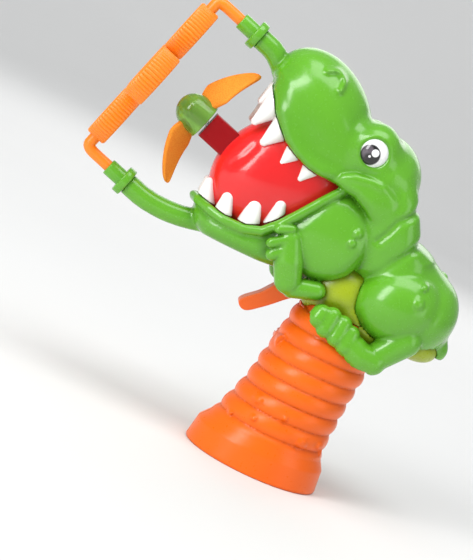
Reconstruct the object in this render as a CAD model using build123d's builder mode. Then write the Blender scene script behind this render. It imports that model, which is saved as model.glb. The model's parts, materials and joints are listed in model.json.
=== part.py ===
"""Hand-held bubble machine in the shape of a cartoon dinosaur on an upright grip.

A foam-bladed fan on a small motor in the mouth blows through a cluster of five
fluted bubble rings, held in front of the jaws by two curved tubes.  A trigger
under the chin closes a switch, and two AA cells stand in the grip behind a
screwed cap in its foot.

Millimetres.  +Z is up, the animal faces -X, and the model is a mirror image
about Y = 0 apart from its fasteners.  The origin is the middle of the grip's
flat foot, on the surface that it stands on.
"""

from build123d import *
import os
from math import atan2, cos, degrees, radians, sin

# ---------------------------------------------------------------- driving sizes

WALL = 1.8  # moulded shells
GAP = 0.15  # between pieces that are fixed to each other
RUNNING = 0.06  # radial clearance of a shaft or pin that turns

# The air leaves along a line in the middle plane, tilted above level.
BLOW_TILT = 17.7
NOSE_FACE = (-62.8, 0, 97.8)  # where that line leaves the motor nose
RING_DISTANCE = 24.5  # from the motor nose to the middle of the rings

RING_OUTER = 9.5
RING_WALL = 1.9
RING_DEPTH = 7.0
FLUTES = 40
FLUTE_RADIUS = 0.42
ARM_RADIUS = 2.0
ARM_SPAN = 32.3  # from the air's line to each arm
SOCKET_RADIUS = 2.8
TUBE_RADIUS = 3.6
COLLAR_RADIUS = 4.85
COLLAR_LENGTH = 2.8

HUB_RADIUS = 6.3
HUB_LENGTH = 10.4
BLADE_TIP = 23.5
BLADE_THICK = 1.8
BLADE_PITCH = 42.0
BLADE_SWEEP = 12.0  # the soft blades lean back towards the mouth by this angle
BLADE_AT = 5.0  # the blades' roots, in front of the motor nose
SHAFT_RADIUS = 1.0
NOSE_SIDE = 9.4
MOTOR_RADIUS = 10.0
MOTOR_FLATS = 15.0
MOTOR_LENGTH = 25.0
MOTOR_SETBACK = 17.0  # from the motor nose's face to the motor's

MOUTH = (-39.5, 89.0)  # middle of the red lining, x and z
MOUTH_ALONG, MOUTH_AROUND = 20.0, 15.6

GRIP_TOP_FRONT = (-9.5, 57.3)
GRIP_TOP_REAR = (20.5, 45.3)
RIB_PITCH = 6.0
FOOT_HEIGHT = 8.0
CAP_THICK = 2.5
NECK = (3.0, 12.0, 16.2)  # grip neck: middle x, half length in X, half width in Y
NECK_TOP = 59.0

CELL_RADIUS, CELL_LENGTH = 7.1, 49.5
CELL_SPACING = 7.4
CELL_FLOOR = 5.4

TRIGGER_PIVOT = (-12.5, 62.0)
TRIGGER_HALF_WIDTH = 3.5
PIN_RADIUS = 1.0
PLUNGER_ARM = 3.2  # from the pivot to the switch's plunger
SPRING_ARM = 8.2  # from the pivot to the return spring
SHELF_Z = 70.6  # underside of the shelf over the trigger

SCREW_SHANK, SCREW_HEAD, SCREW_HEAD_THICK = 1.05, 2.4, 1.7
CLIP_SCREW_SHANK = 0.8
CROSS_WIDTH = 0.5
SCREW_SEAT = 5.0  # the heads' seats, this far from the middle plane
SCREW_DEPTH = 7.0

# ------------------------------------------------------------------- directions

tilt = radians(BLOW_TILT)
blow = Vector(-cos(tilt), 0, sin(tilt))
lift = Vector(sin(tilt), 0, cos(tilt))
# Local x runs up the rings, local y is +Y and local z runs with the air.
fan_plane = Plane(origin=NOSE_FACE, x_dir=lift, z_dir=blow)
ring_plane = fan_plane.offset(RING_DISTANCE)


def on_side(x, z, y=0.0, turn=0.0):
    """A location in the side view, turned by `turn` degrees about Y, anticlockwise as seen from -Y."""
    return Location((x, y, z), (0, -turn, 0))


def save(part, name):
    part.label = name
    export_step(part, f"parts/{name}.step")


os.makedirs("parts", exist_ok=True)


def spheroid(along, around):
    """An ellipsoid of revolution about X."""
    with BuildPart() as blob:
        with BuildSketch(Plane.XY):
            Ellipse(along, around)
            Rectangle(2 * along, around, align=(Align.CENTER, Align.MAX), mode=Mode.SUBTRACT)
        revolve(axis=Axis.X)
    return blob.part


# -------------------------------------------------------------- the green body

# name: x, z, y, half length, half thickness, turn of the long axis in the side view
TRUNK = {
    "snout": (-31.0, 117.0, 0, 22.0, 16.0, -41),
    "skull": (-6.0, 109.0, 0, 13.6, 13.4, 0),
    "neck": (2.0, 96.0, 0, 15.2, 15.0, 90),
    "throat": (-9.0, 80.0, 0, 16.2, 16.0, 20),
    "torso": (12.0, 78.0, 0, 17.2, 17.0, 0),
    "hip": (26.0, 70.0, 0, 18.0, 14.5, -40),
}
SIDES = {
    "eye_socket": (-9.2, 113.9, 10.0, 7.6, 7.4, 0),
    "cheek": (-2.0, 98.0, 7.0, 13.0, 12.4, 30),
    "thigh": (21.0, 69.0, 10.0, 15.5, 12.5, -10),
}
LIMBS = {
    "shin": (19.5, 53.0, 13.0, 7.2, 7.0, 90),
    "foot": (8.0, 54.0, 13.5, 14.0, 6.5, -20),
    "upper_arm": (-10.0, 62.0, 14.0, 7.8, 4.2, 15),
    "forearm": (-19.5, 68.0, 14.0, 12.0, 4.8, 112),
    "hand": (-25.0, 74.0, 14.5, 5.2, 5.0, 90),
}


def blob_at(size, shrink=0.0):
    """One of the blobs above, on the near side, with every half size less `shrink`."""
    x, z, y, along, around, turn = size
    return spheroid(along - shrink, around - shrink).moved(on_side(x, z, -y, turn))


# Lower jaw: its side view, and the oval that rounds its front as seen from above.
JAW_SIDE = [
    (-58.5, 76.5), (-58.0, 72.5), (-55.0, 67.5), (-51.0, 65.2), (-30.0, 64.8),
    (-20.0, 66.0), (-12.0, 80.0), (-16.5, 96.5), (-21.0, 91.0), (-26.0, 83.0),
    (-31.0, 77.5), (-38.0, 74.2), (-47.0, 73.4), (-55.0, 75.2),
]
JAW_MIDDLE, JAW_LENGTH, JAW_WIDTH = -34.0, 24.4, 16.6


def jaw_block(shrink=0.0):
    """The lower jaw, or the hollow inside it."""
    with BuildPart() as jaw:
        with BuildSketch(Plane.XZ):
            with BuildLine():
                Polyline(*JAW_SIDE, close=True)
            make_face()
            if shrink:
                offset(amount=-shrink, kind=Kind.INTERSECTION, mode=Mode.REPLACE)
        extrude(amount=JAW_WIDTH, both=True)
        with BuildSketch(Plane.XY.offset(60)):
            with Locations((JAW_MIDDLE, 0)):
                Ellipse(JAW_LENGTH - shrink, JAW_WIDTH - shrink)
        extrude(amount=40, mode=Mode.INTERSECT)
    return jaw.part


# Tubes that carry the rings: routes in the side view, each ending at its collar's step.
def along_air(distance, span):
    """The side-view point `distance` before the rings' plane and `span` above the air's line."""
    point = ring_plane.origin - blow * distance + lift * span
    return (point.X, point.Z)


COLLAR_BACK = 18.3  # the tubes' steps, behind the rings' middle plane
SOCKET_MOUTH = 9.8  # the sockets' ends
STRAIGHT = 8.0  # straight run of each tube behind its step
LOWER_ROUTE = [
    (-48.0, 68.6), (-60.0, 66.0),
    along_air(COLLAR_BACK + STRAIGHT, -ARM_SPAN), along_air(COLLAR_BACK, -ARM_SPAN),
]
LOWER_BENDS = [20, 20]
UPPER_ROUTE = [(-42.0, 117.0), along_air(COLLAR_BACK + STRAIGHT, ARM_SPAN), along_air(COLLAR_BACK, ARM_SPAN)]
UPPER_BENDS = [5]


def route_tube(route, bends, radius):
    """A round bar along a route in the middle plane."""
    with BuildPart() as bar:
        with BuildLine(Plane.XZ) as path:
            FilletPolyline(*route, radius=bends)
        start = path.line ^ 0
        with BuildSketch(start):
            Circle(radius)
        sweep(path=path.line)
    return bar.part


def socket(span):
    """The straight round end of a tube, from its step to its mouth."""
    with BuildPart() as end:
        with BuildSketch(ring_plane.offset(-COLLAR_BACK)):
            with Locations((span, 0)):
                Circle(SOCKET_RADIUS)
        extrude(amount=COLLAR_BACK - SOCKET_MOUTH)
    return end.part


MOUTH_END = 10.0  # radius of the lining's rounded ends


def mouth_half_oval(grow=0.0):
    """Half of the lining's side view, above its long axis, which lies along X: three tangent arcs."""
    centre = MOUTH_ALONG - MOUTH_END
    rise = MOUTH_AROUND - MOUTH_END
    drop = (centre**2 - rise**2) / (2 * rise)
    meet = degrees(atan2(drop, centre))
    with BuildSketch() as half_oval:
        with BuildLine():
            CenterArc((-centre, 0), MOUTH_END + grow, 180 - meet, meet)
            CenterArc((0, -drop), MOUTH_AROUND + drop + grow, meet, 180 - 2 * meet)
            CenterArc((centre, 0), MOUTH_END + grow, 0, meet)
            Line((-MOUTH_ALONG - grow, 0), (MOUTH_ALONG + grow, 0))
        make_face()
    return half_oval.sketch


def mouth_blob(grow=0.0):
    """The red lining's outer form, whose long axis stands across the air's line."""
    with BuildPart() as blob:
        with BuildSketch():
            add(mouth_half_oval(grow))
        revolve(axis=Axis.X)
    return blob.part.moved(on_side(*MOUTH, turn=90 - BLOW_TILT))


BELLY = (1.0, 66.0, 16.0, 13.0)  # lime belly: x, z, half length, half thickness


def belly_blob(grow=0.0):
    x, z, along, around = BELLY
    return spheroid(along + grow, around + grow).moved(on_side(x, z))


BODY_SCREWS = [(-33.0, 122.0), (4.0, 104.0), (33.0, 68.0), (-30.5, 69.5)]
EYE = (-10.2, 113.6)
EYE_RADIUS = 5.0

# Teeth: x, z and y of each tooth's root, its length, root radius, and lean in the side view.
UPPER_TEETH = [
    (-50.6, 117.0, 3.2, 6.5, 2.3, 245), (-47.6, 111.8, 9.5, 8.5, 2.8, 248),
    (-41.5, 106.8, 13.0, 8.0, 2.9, 255), (-33.2, 101.4, 14.4, 6.5, 2.4, 262),
    (-25.6, 98.6, 14.6, 5.2, 2.4, 262),
]
LOWER_TEETH = [
    (-55.2, 75.6, 4.0, 6.4, 2.9, 92), (-47.0, 74.6, 13.2, 6.2, 2.7, 92),
    (-37.6, 75.8, 15.4, 7.0, 3.1, 98), (-28.6, 80.0, 15.2, 5.6, 2.4, 92),
]


def tooth(size, grow=0.0):
    """One blunt cone with a round root, on the near side."""
    x, z, y, length, radius, lean = size
    blunt = 0.30 * radius
    with BuildPart() as cone:
        with BuildSketch(Plane.XZ):
            with BuildLine():
                Polyline((0, -radius), (radius + grow, -0.4 * radius), (radius + grow, 0.15 * length),
                         (blunt + grow, length + grow), (0, length + grow), close=True)
            make_face()
        revolve(axis=Axis.Z)
    return cone.part.moved(Location((x, -y, z), (0, 90 - lean, 0)))


def grip_neck(grow=0.0, top=NECK_TOP):
    """The oval plug at the grip's top, which goes up inside the body."""
    x, half_length, half_width = NECK
    with BuildPart() as plug:
        with BuildSketch(Plane.XY.offset(38)):
            with Locations((x, 0)):
                Ellipse(half_length + grow, half_width + grow)
        extrude(amount=top - 38)
    return plug.part


def below_sole(grow=0.0):
    """The space under the slanted top of the grip, which the animal stands on."""
    (x0, z0), (x1, z1) = GRIP_TOP_FRONT, GRIP_TOP_REAR
    slope = (z1 - z0) / (x1 - x0)
    with BuildPart() as space:
        with BuildSketch(Plane.XZ):
            with BuildLine():
                Polyline((x1 + 8, z1 + 8 * slope + grow),
                         (x1 + 8, -10), (x0 - 20, -10), (x0 - 20, z0 - 20 * slope + grow), close=True)
            make_face()
        extrude(amount=40, both=True)
    return space.part


# Round bodies hollowed by the wall's thickness.
with BuildPart() as near_skin:
    for size in (*TRUNK.values(), *SIDES.values(), *LIMBS.values()):
        add(blob_at(size))
    add(jaw_block())
    add(route_tube(LOWER_ROUTE, LOWER_BENDS, TUBE_RADIUS))
    add(route_tube(UPPER_ROUTE, UPPER_BENDS, TUBE_RADIUS))
    add(socket(-ARM_SPAN))
    add(socket(ARM_SPAN))
    split(bisect_by=Plane.XZ, keep=Keep.TOP)

with BuildPart() as near_hollow:
    for size in (*TRUNK.values(), *SIDES.values()):
        add(blob_at(size, WALL))
    add(jaw_block(WALL))
    split(bisect_by=Plane.XZ, keep=Keep.TOP)


def post(x, z, radius, start, depth, side):
    """A round post along Y that starts at `start` and runs outwards on the side given (-1 near, 1 far)."""
    with BuildPart() as bar:
        with BuildSketch(Plane.XZ.offset(-side * start)):
            with Locations((x, z)):
                Circle(radius)
        extrude(amount=-side * depth)
    return bar.part


def trigger_well():
    """The space that the trigger swings in, inside the body and the belly panel."""
    with BuildPart() as well:
        with BuildSketch(Plane.XZ):
            with BuildLine():
                Polyline((-26.0, 52.0), (-27.0, 60.0), (-20.5, 66.2), (0.5, 66.2), (0.5, 59.6), (-13.0, 52.0),
                         close=True)
            make_face()
        extrude(amount=TRIGGER_HALF_WIDTH + 0.5, both=True)
        with BuildSketch(Plane.XY.offset(58.6)):
            with Locations((-10.0, 0)):
                Rectangle(20.6, 13.0)
        extrude(amount=14.0)
    return well.part


def motor_space():
    """Room for the motor and its clip, inside the head."""
    with BuildPart() as space:
        with BuildSketch(fan_plane.offset(-16)):
            Circle(MOTOR_RADIUS + 2.0)
        extrude(amount=-30)
    return space.part


def openings_in_skin():
    """Everything that is cut out of both half shells."""
    with BuildPart() as cuts:
        add(mouth_blob(GAP))
        add(belly_blob(GAP))
        add(below_sole(GAP))
        add(grip_neck(GAP))
        add(trigger_well())
        add(motor_space())
        with BuildSketch(ring_plane.offset(-COLLAR_BACK - 2.5)):
            with Locations((-ARM_SPAN, 0), (ARM_SPAN, 0)):
                Circle(ARM_RADIUS + 0.1)
        extrude(amount=12)
        for size in (*UPPER_TEETH, *LOWER_TEETH):
            add(tooth(size, 0.1))
    return cuts.part


skin_cuts = openings_in_skin()

# ------------------------------------------------------------ green half shells

with BuildPart() as body_left:
    add(near_skin.part)
    add(near_hollow.part, mode=Mode.SUBTRACT)
    for x, z in BODY_SCREWS:
        add(post(x, z, 2.7, 0, 30, -1).intersect(near_skin.part))
    add(skin_cuts, mode=Mode.SUBTRACT)
    for x, z in BODY_SCREWS:
        add(post(x, z, SCREW_SHANK + 0.1, 0, SCREW_DEPTH + 0.5, -1), mode=Mode.SUBTRACT)

with BuildPart() as body_right:
    add(near_skin.part)
    add(near_hollow.part, mode=Mode.SUBTRACT)
    for x, z in BODY_SCREWS:
        add(post(x, z, 3.9, 0, 30, -1).intersect(near_skin.part))
    add(skin_cuts, mode=Mode.SUBTRACT)
    for x, z in BODY_SCREWS:
        add(post(x, z, SCREW_SHANK + 0.1, -1, 40, -1), mode=Mode.SUBTRACT)
        add(post(x, z, SCREW_HEAD + 0.15, SCREW_SEAT, 40, -1), mode=Mode.SUBTRACT)
    mirror(about=Plane.XZ, mode=Mode.REPLACE)

save(body_left.part, "body_left")
save(body_right.part, "body_right")

# ------------------------------------------------- belly, mouth lining and trim

with BuildPart() as belly_panel:
    add(belly_blob())
    add(belly_blob(-WALL), mode=Mode.SUBTRACT)
    add(below_sole(GAP), mode=Mode.SUBTRACT)
    add(grip_neck(GAP), mode=Mode.SUBTRACT)
    add(trigger_well(), mode=Mode.SUBTRACT)
    for limb in (*LIMBS.values(), SIDES["thigh"]):
        add(blob_at(limb, -0.1), mode=Mode.SUBTRACT)
        add(blob_at(limb, -0.1).mirror(Plane.XZ), mode=Mode.SUBTRACT)
    with BuildSketch(Plane.XY.offset(76.5)):
        Rectangle(80, 80)
    extrude(amount=20, mode=Mode.SUBTRACT)
    split(bisect_by=Plane.YZ.offset(4.0), keep=Keep.BOTTOM)

MOTOR_AT = -MOTOR_SETBACK  # front of the motor, along the air's line from the nose
LUG = 13.2  # the motor clip's screws, either side of the air's line
# The lining ends at the plane through its widest part, this far along the air's line from the nose.
BOSS_BACK = (Vector(MOUTH[0], 0, MOUTH[1]) - fan_plane.origin).dot(blow)
LINING_WALL = 1.6

# Half of a hollow ovoid, turned about its long axis, with bosses inside that the motor clip screws into.
with BuildPart() as lining_bosses:
    with BuildSketch(fan_plane.offset(BOSS_BACK)):
        with Locations((LUG, 0), (-LUG, 0)):
            Circle(2.6)
            Circle(0.85, mode=Mode.SUBTRACT)
    extrude(amount=9.3)

with BuildPart() as lining_dome:
    with BuildSketch():
        add(mouth_half_oval())
        add(mouth_half_oval(-LINING_WALL), mode=Mode.SUBTRACT)
    revolve(axis=Axis.X, revolution_arc=180)

with BuildPart() as mouth_lining:
    add(lining_dome.part.moved(on_side(*MOUTH, turn=90 - BLOW_TILT)))
    add(lining_bosses.part)
    with BuildSketch(fan_plane):
        Circle(4.1)
    extrude(amount=-16, mode=Mode.SUBTRACT)

# A square block seated on the lining, with a round spigot through it and a bore for the shaft and its bush.
with BuildPart() as motor_nose:
    with BuildSketch(fan_plane):
        RectangleRounded(NOSE_SIDE, NOSE_SIDE, 0.8)
    extrude(amount=-14)
    add(mouth_blob(GAP), mode=Mode.SUBTRACT)
    with BuildSketch(fan_plane.offset(-2)):
        Circle(3.9)
    extrude(amount=-11.5)
    with BuildSketch(fan_plane):
        Circle(SHAFT_RADIUS + 0.4)
    extrude(amount=-14, mode=Mode.SUBTRACT)
    with BuildSketch(fan_plane):
        Circle(2.0)
    extrude(amount=-5, mode=Mode.SUBTRACT)

with BuildPart() as shaft_bush:
    with BuildSketch(fan_plane.offset(-4.95)):
        Circle(1.95)
        Circle(SHAFT_RADIUS + RUNNING, mode=Mode.SUBTRACT)
    extrude(amount=4.85)

with BuildPart() as upper_teeth:
    for size in UPPER_TEETH:
        add(tooth(size))
    mirror(about=Plane.XZ)
    add(mouth_blob(0.1), mode=Mode.SUBTRACT)

with BuildPart() as lower_teeth:
    for size in LOWER_TEETH:
        add(tooth(size))
    mirror(about=Plane.XZ)
    add(mouth_blob(0.1), mode=Mode.SUBTRACT)


def eye_dome(side):
    """A domed disc seated on one eye socket."""
    with BuildPart() as disc:
        with BuildSketch(Plane.XZ.offset(10)):
            with Locations(EYE):
                Circle(EYE_RADIUS)
        extrude(amount=12)
        add(blob_at(SIDES["eye_socket"], -0.9), mode=Mode.INTERSECT)
        add(blob_at(SIDES["eye_socket"], -0.1), mode=Mode.SUBTRACT)
        for name in ("skull", "snout"):
            add(blob_at(TRUNK[name], -0.1), mode=Mode.SUBTRACT)
        if side > 0:
            mirror(about=Plane.XZ, mode=Mode.REPLACE)
    return disc.part


def collar(span):
    """The ring that clamps the two halves of a socket together."""
    with BuildPart() as ring:
        with BuildSketch(ring_plane.offset(0.15 - COLLAR_BACK)):
            with Locations((span, 0)):
                Circle(COLLAR_RADIUS)
                Circle(SOCKET_RADIUS + 0.1, mode=Mode.SUBTRACT)
        extrude(amount=COLLAR_LENGTH)
        chamfer(ring.edges().filter_by(GeomType.CIRCLE).sort_by(SortBy.RADIUS)[-2:], length=0.4)
    return ring.part


for part, name in (
    (belly_panel.part, "belly_panel"),
    (mouth_lining.part, "mouth_lining"),
    (motor_nose.part, "motor_nose"),
    (shaft_bush.part, "shaft_bush"),
    (upper_teeth.part, "upper_teeth"),
    (lower_teeth.part, "lower_teeth"),
    (eye_dome(-1), "eye_left"),
    (eye_dome(1), "eye_right"),
    (collar(ARM_SPAN), "upper_collar"),
    (collar(-ARM_SPAN), "lower_collar"),
):
    save(part, name)

# --------------------------------------------------------------- bubble rings

RING_PITCH = 2 * RING_OUTER - 0.4


def fluted_rings(centres, neighbour=None):
    """Short fluted tubes about the given centres, trimmed where a neighbouring ring takes their place."""
    with BuildPart() as rings:
        with BuildSketch(ring_plane.offset(-RING_DEPTH / 2)):
            with Locations(*centres):
                Circle(RING_OUTER)
            for centre in centres:
                with Locations(centre):
                    with PolarLocations(RING_OUTER + 0.1, FLUTES):
                        Circle(FLUTE_RADIUS, mode=Mode.SUBTRACT)
                    Circle(RING_OUTER - RING_WALL, mode=Mode.SUBTRACT)
            if neighbour:
                with Locations(neighbour):
                    Circle(RING_OUTER, mode=Mode.SUBTRACT)
        extrude(amount=RING_DEPTH)
    return rings.part


# Three rings in a column on two bent arms, with one ring on each side of the middle one.
with BuildPart() as bubble_wand:
    add(fluted_rings([(0, 0), (RING_PITCH, 0), (-RING_PITCH, 0)]))
    for way in (-1, 1):
        with BuildLine(Plane(origin=ring_plane.origin, x_dir=lift, z_dir=(0, -1, 0))) as arm:
            FilletPolyline((way * (RING_PITCH + RING_OUTER - 1.2), 0),
                           (way * ARM_SPAN, 0), (way * ARM_SPAN, -20.5),
                           radius=3.2)
        start = arm.line ^ 0
        with BuildSketch(start):
            Circle(ARM_RADIUS)
        sweep(path=arm.line)

save(fluted_rings([(0, -RING_PITCH)], (0, 0)), "side_ring_near")
save(fluted_rings([(0, RING_PITCH)], (0, 0)), "side_ring_far")
save(bubble_wand.part, "bubble_wand")

# -------------------------------------------------------------- fan and motor

with BuildPart() as fan_hub:
    with BuildSketch(fan_plane.offset(1.0)):
        Circle(HUB_RADIUS)
    extrude(amount=HUB_LENGTH)
    fillet(fan_hub.faces().sort_by(Axis((0, 0, 0), tuple(blow)))[-1].edges(), radius=4.4)
    with BuildSketch(fan_plane):
        Circle(SHAFT_RADIUS + 0.02)
    extrude(amount=9.5, mode=Mode.SUBTRACT)


def blade(way):
    """One flat foam blade, pitched about its own length, on the upper (1) or lower (-1) side of the hub."""
    sweep_back, turn = radians(BLADE_SWEEP), radians(BLADE_PITCH * way)
    along = lift * (way * cos(sweep_back)) - blow * sin(sweep_back)
    level = blow * cos(sweep_back) + lift * (way * sin(sweep_back))
    across = level * sin(turn) + Vector(0, 1, 0) * cos(turn)
    face = Plane(origin=fan_plane.origin + blow * BLADE_AT, x_dir=along, z_dir=across.cross(along))
    with BuildPart() as vane:
        with BuildSketch(face.offset(-BLADE_THICK / 2)):
            with BuildLine():
                Polyline((2.2, -2.8), (6.5, -3.6), (11.0, -5.8), (16.0, -5.8), (BLADE_TIP - 3.0, -3.8),
                         (BLADE_TIP, -0.8), (BLADE_TIP - 0.4, 1.0), (BLADE_TIP - 3.0, 3.8), (16.0, 5.8),
                         (11.0, 5.8), (6.5, 3.6), (2.2, 2.8), close=True)
            make_face()
        extrude(amount=BLADE_THICK)
    return vane.part


for way in (1, -1):
    fan_hub.part = fan_hub.part - blade(way)

with BuildPart() as fan_shaft:
    with BuildSketch(fan_plane.offset(9.3)):
        Circle(SHAFT_RADIUS)
    extrude(amount=MOTOR_AT - 2.5 - 9.3)
    for way in (1, -1):
        add(blade(way), mode=Mode.SUBTRACT)

with BuildPart() as motor_can:
    with BuildSketch(fan_plane.offset(MOTOR_AT)):
        Circle(MOTOR_RADIUS)
        Rectangle(2 * MOTOR_RADIUS, MOTOR_FLATS, mode=Mode.INTERSECT)
    extrude(amount=-MOTOR_LENGTH)
    with BuildSketch(fan_plane.offset(MOTOR_AT)):
        Circle(3.05)
    extrude(amount=1.5)
    with BuildSketch(fan_plane.offset(MOTOR_AT - MOTOR_LENGTH)):
        Circle(MOTOR_RADIUS - 1.0)
        Rectangle(2 * MOTOR_RADIUS, MOTOR_FLATS - 2.0, mode=Mode.INTERSECT)
    extrude(amount=3.2, mode=Mode.SUBTRACT)
    with BuildSketch(fan_plane.offset(MOTOR_AT + 2)):
        Circle(SHAFT_RADIUS + RUNNING)
    extrude(amount=-6, mode=Mode.SUBTRACT)

with BuildPart() as motor_end_cap:
    with BuildSketch(fan_plane.offset(MOTOR_AT - MOTOR_LENGTH + 3.1)):
        Circle(MOTOR_RADIUS - 1.1)
        Rectangle(2 * MOTOR_RADIUS, MOTOR_FLATS - 2.2, mode=Mode.INTERSECT)
    extrude(amount=-3.1)
    with BuildSketch(fan_plane.offset(MOTOR_AT - MOTOR_LENGTH)):
        Circle(3.4)
    extrude(amount=-1.6)
    with BuildSketch(fan_plane.offset(MOTOR_AT - MOTOR_LENGTH)):
        with Locations((6.6, 0), (-6.6, 0)):
            Rectangle(0.6, 2.4)
    extrude(amount=-3.6)

with BuildPart() as motor_clip:
    with BuildSketch(fan_plane.offset(BOSS_BACK - GAP)):
        Rectangle(2 * LUG, 8.0)
        with Locations((LUG, 0), (-LUG, 0)):
            Circle(3.2)
        Circle(MOTOR_RADIUS + 1.8)
        with BuildSketch(mode=Mode.SUBTRACT):
            Circle(MOTOR_RADIUS + 0.1)
            Rectangle(2 * MOTOR_RADIUS + 1, MOTOR_FLATS + 0.2, mode=Mode.INTERSECT)
        with Locations((LUG, 0), (-LUG, 0)):
            Circle(1.1, mode=Mode.SUBTRACT)
    extrude(amount=-2.4)


def round_screw(place, head, shank, length):
    """A pan-head screw: its shank along the plane's normal, its head and cross recess behind the plane."""
    with BuildPart() as screw:
        with BuildSketch(place):
            Circle(head)
        extrude(amount=-SCREW_HEAD_THICK)
        with BuildSketch(place):
            Circle(shank)
        extrude(amount=length)
        with BuildSketch(place.offset(-SCREW_HEAD_THICK)):
            Rectangle(1.2 * head, CROSS_WIDTH)
            Rectangle(CROSS_WIDTH, 1.2 * head)
        extrude(amount=0.9, mode=Mode.SUBTRACT)
    return screw.part


with BuildPart() as motor_clip_screws:
    for way in (-1, 1):
        seat = Plane(origin=fan_plane.origin + blow * (BOSS_BACK - 2.7) + lift * way * LUG, x_dir=lift, z_dir=blow)
        add(round_screw(seat, 2.0, CLIP_SCREW_SHANK, 9.0))

for part, name in (
    (fan_hub.part, "fan_hub"),
    (blade(1), "fan_blade_a"),
    (blade(-1), "fan_blade_b"),
    (fan_shaft.part, "fan_shaft"),
    (motor_can.part, "motor_can"),
    (motor_end_cap.part, "motor_end_cap"),
    (motor_clip.part, "motor_clip"),
    (motor_clip_screws.part, "motor_clip_screws"),
):
    save(part, name)

# --------------------------------------------------------- trigger and switch

PX, PZ = TRIGGER_PIVOT

with BuildPart() as trigger:
    with BuildSketch(Plane.XZ.offset(-TRIGGER_HALF_WIDTH)):
        with BuildLine():
            Spline((PX - 3.0, PZ + 1.0), (-20.5, 59.0), (-24.0, 54.6), (-27.6, 51.4), (-29.0, 49.0), (-27.0, 47.2),
                   (-23.2, 48.8), (-18.5, 52.8), (PX + 1.5, PZ - 3.2))
            Line((PX + 1.5, PZ - 3.2), (PX - 3.0, PZ + 1.0))
        make_face()
        with Locations((PX, PZ)):
            Circle(3.1)
        with Locations((PX + 5.4, PZ + 0.7)):
            Rectangle(10.8, 2.6)
    extrude(amount=2 * TRIGGER_HALF_WIDTH)
    fillet(trigger.faces().sort_by(Axis.Y)[0].edges() + trigger.faces().sort_by(Axis.Y)[-1].edges(), radius=0.5)
    with BuildSketch(Plane.XZ.offset(-10)):
        with Locations((PX, PZ)):
            Circle(PIN_RADIUS + RUNNING)
    extrude(amount=20, mode=Mode.SUBTRACT)

PIN_HALF = 6.0

with BuildPart() as trigger_pin:
    with BuildSketch(Plane.XZ.offset(-PIN_HALF)):
        with Locations((PX, PZ)):
            Circle(PIN_RADIUS)
    extrude(amount=2 * PIN_HALF)

ARM_TOP = PZ + 2.0
SPRING_X = PX + SPRING_ARM
PLUNGER_X = PX + PLUNGER_ARM

with BuildPart() as trigger_spring:
    turns, wire = 5, 0.25
    reach = SHELF_Z - ARM_TOP - 2 * wire - 0.1
    with BuildLine() as coil:
        Helix(pitch=reach / turns, height=reach, radius=1.7, center=(SPRING_X, 0, ARM_TOP + wire + 0.05))
    with BuildSketch(coil.line ^ 0):
        Circle(wire)
    sweep(path=coil.line, is_frenet=True)

with BuildPart() as switch_block:
    with BuildSketch(Plane.XY.offset(66.6)):
        with Locations((PLUNGER_X - 4.0, 0)):
            Rectangle(12.6, 5.8)
    extrude(amount=SHELF_Z - 66.6 - 0.15)
    with BuildSketch(Plane.XY.offset(66.6)):
        with Locations((PLUNGER_X, 0)):
            Rectangle(1.9, 2.9)
    extrude(amount=2.6, mode=Mode.SUBTRACT)

with BuildPart() as switch_button:
    with BuildSketch(Plane.XY.offset(ARM_TOP + 0.3)):
        with Locations((PLUNGER_X, 0)):
            Rectangle(1.6, 2.6)
    extrude(amount=3.3)

# The bracket holds the pin's ends, the switch and the spring's shelf.
with BuildPart() as switch_bracket:
    with BuildSketch(Plane.XY.offset(SHELF_Z)):
        with Locations((PX + 2.0, 0)):
            Rectangle(19.0, 12.4)
    extrude(amount=1.6)
    for side in (-1, 1):
        with BuildSketch(Plane.XZ.offset(side * 5.2 - 0.8)):
            with Locations((PX, PZ + 4.3)):
                Rectangle(6.0, 8.6 + 0.1)
            with Locations((PX, PZ)):
                Circle(3.0)
        extrude(amount=1.6)
    with BuildSketch(Plane.XZ.offset(-10)):
        with Locations((PX, PZ)):
            Circle(PIN_RADIUS + 0.05)
    extrude(amount=20, mode=Mode.SUBTRACT)

for part, name in (
    (trigger.part, "trigger"),
    (trigger_pin.part, "trigger_pin"),
    (trigger_spring.part, "trigger_spring"),
    (switch_block.part, "switch_block"),
    (switch_button.part, "switch_button"),
    (switch_bracket.part, "switch_bracket"),
):
    save(part, name)

# ----------------------------------------------------------------------- grip

# Rib crests: height, front x, rear x, half width; each groove lies half a pitch above its crest.
CRESTS = [
    (11.5, -21.6, 19.2, 19.4), (17.5, -19.2, 18.9, 18.8), (23.5, -17.1, 19.2, 18.4), (29.5, -15.5, 19.5, 18.2),
    (35.5, -14.6, 20.0, 18.0), (41.5, -13.3, 20.6, 17.8), (47.5, -12.3, 21.0, 17.7), (53.5, -11.4, 21.2, 17.6),
]
GROOVE = 0.9
BAY = (8.2, 14.9)  # half sizes of the cell bay, in X and Y
BAY_X = 3.0
BAY_TOP = 57.2


def oval_stack(levels, inset):
    """A ribbed stack of ovals, one for each level."""
    with BuildPart() as stack:
        for height, front, rear, half_width in levels:
            with BuildSketch(Plane.XY.offset(height)):
                with Locations(((front + rear) / 2, 0)):
                    Ellipse((rear - front) / 2 - inset, half_width - inset)
        loft(ruled=True)
    return stack.part


ribbed = []
for height, front, rear, half_width in CRESTS:
    ribbed.append((height, front, rear, half_width))
    ribbed.append((height + RIB_PITCH / 2, front + GROOVE + 0.3, rear - GROOVE, half_width - GROOVE))
ribbed.append((62.0, -10.2, 21.0, 17.2))
FOOT = [(0, -26.0, 22.0, 21.0), (FOOT_HEIGHT, -24.4, 21.2, 20.4), (CRESTS[0][0], -21.6, 19.2, 19.4)]
SMOOTH = [(-1, -22.0, 19.0, 18.0), (12.0, -17.6, 16.2, 16.2), (62.0, -7.4, 18.2, 15.0)]

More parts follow.
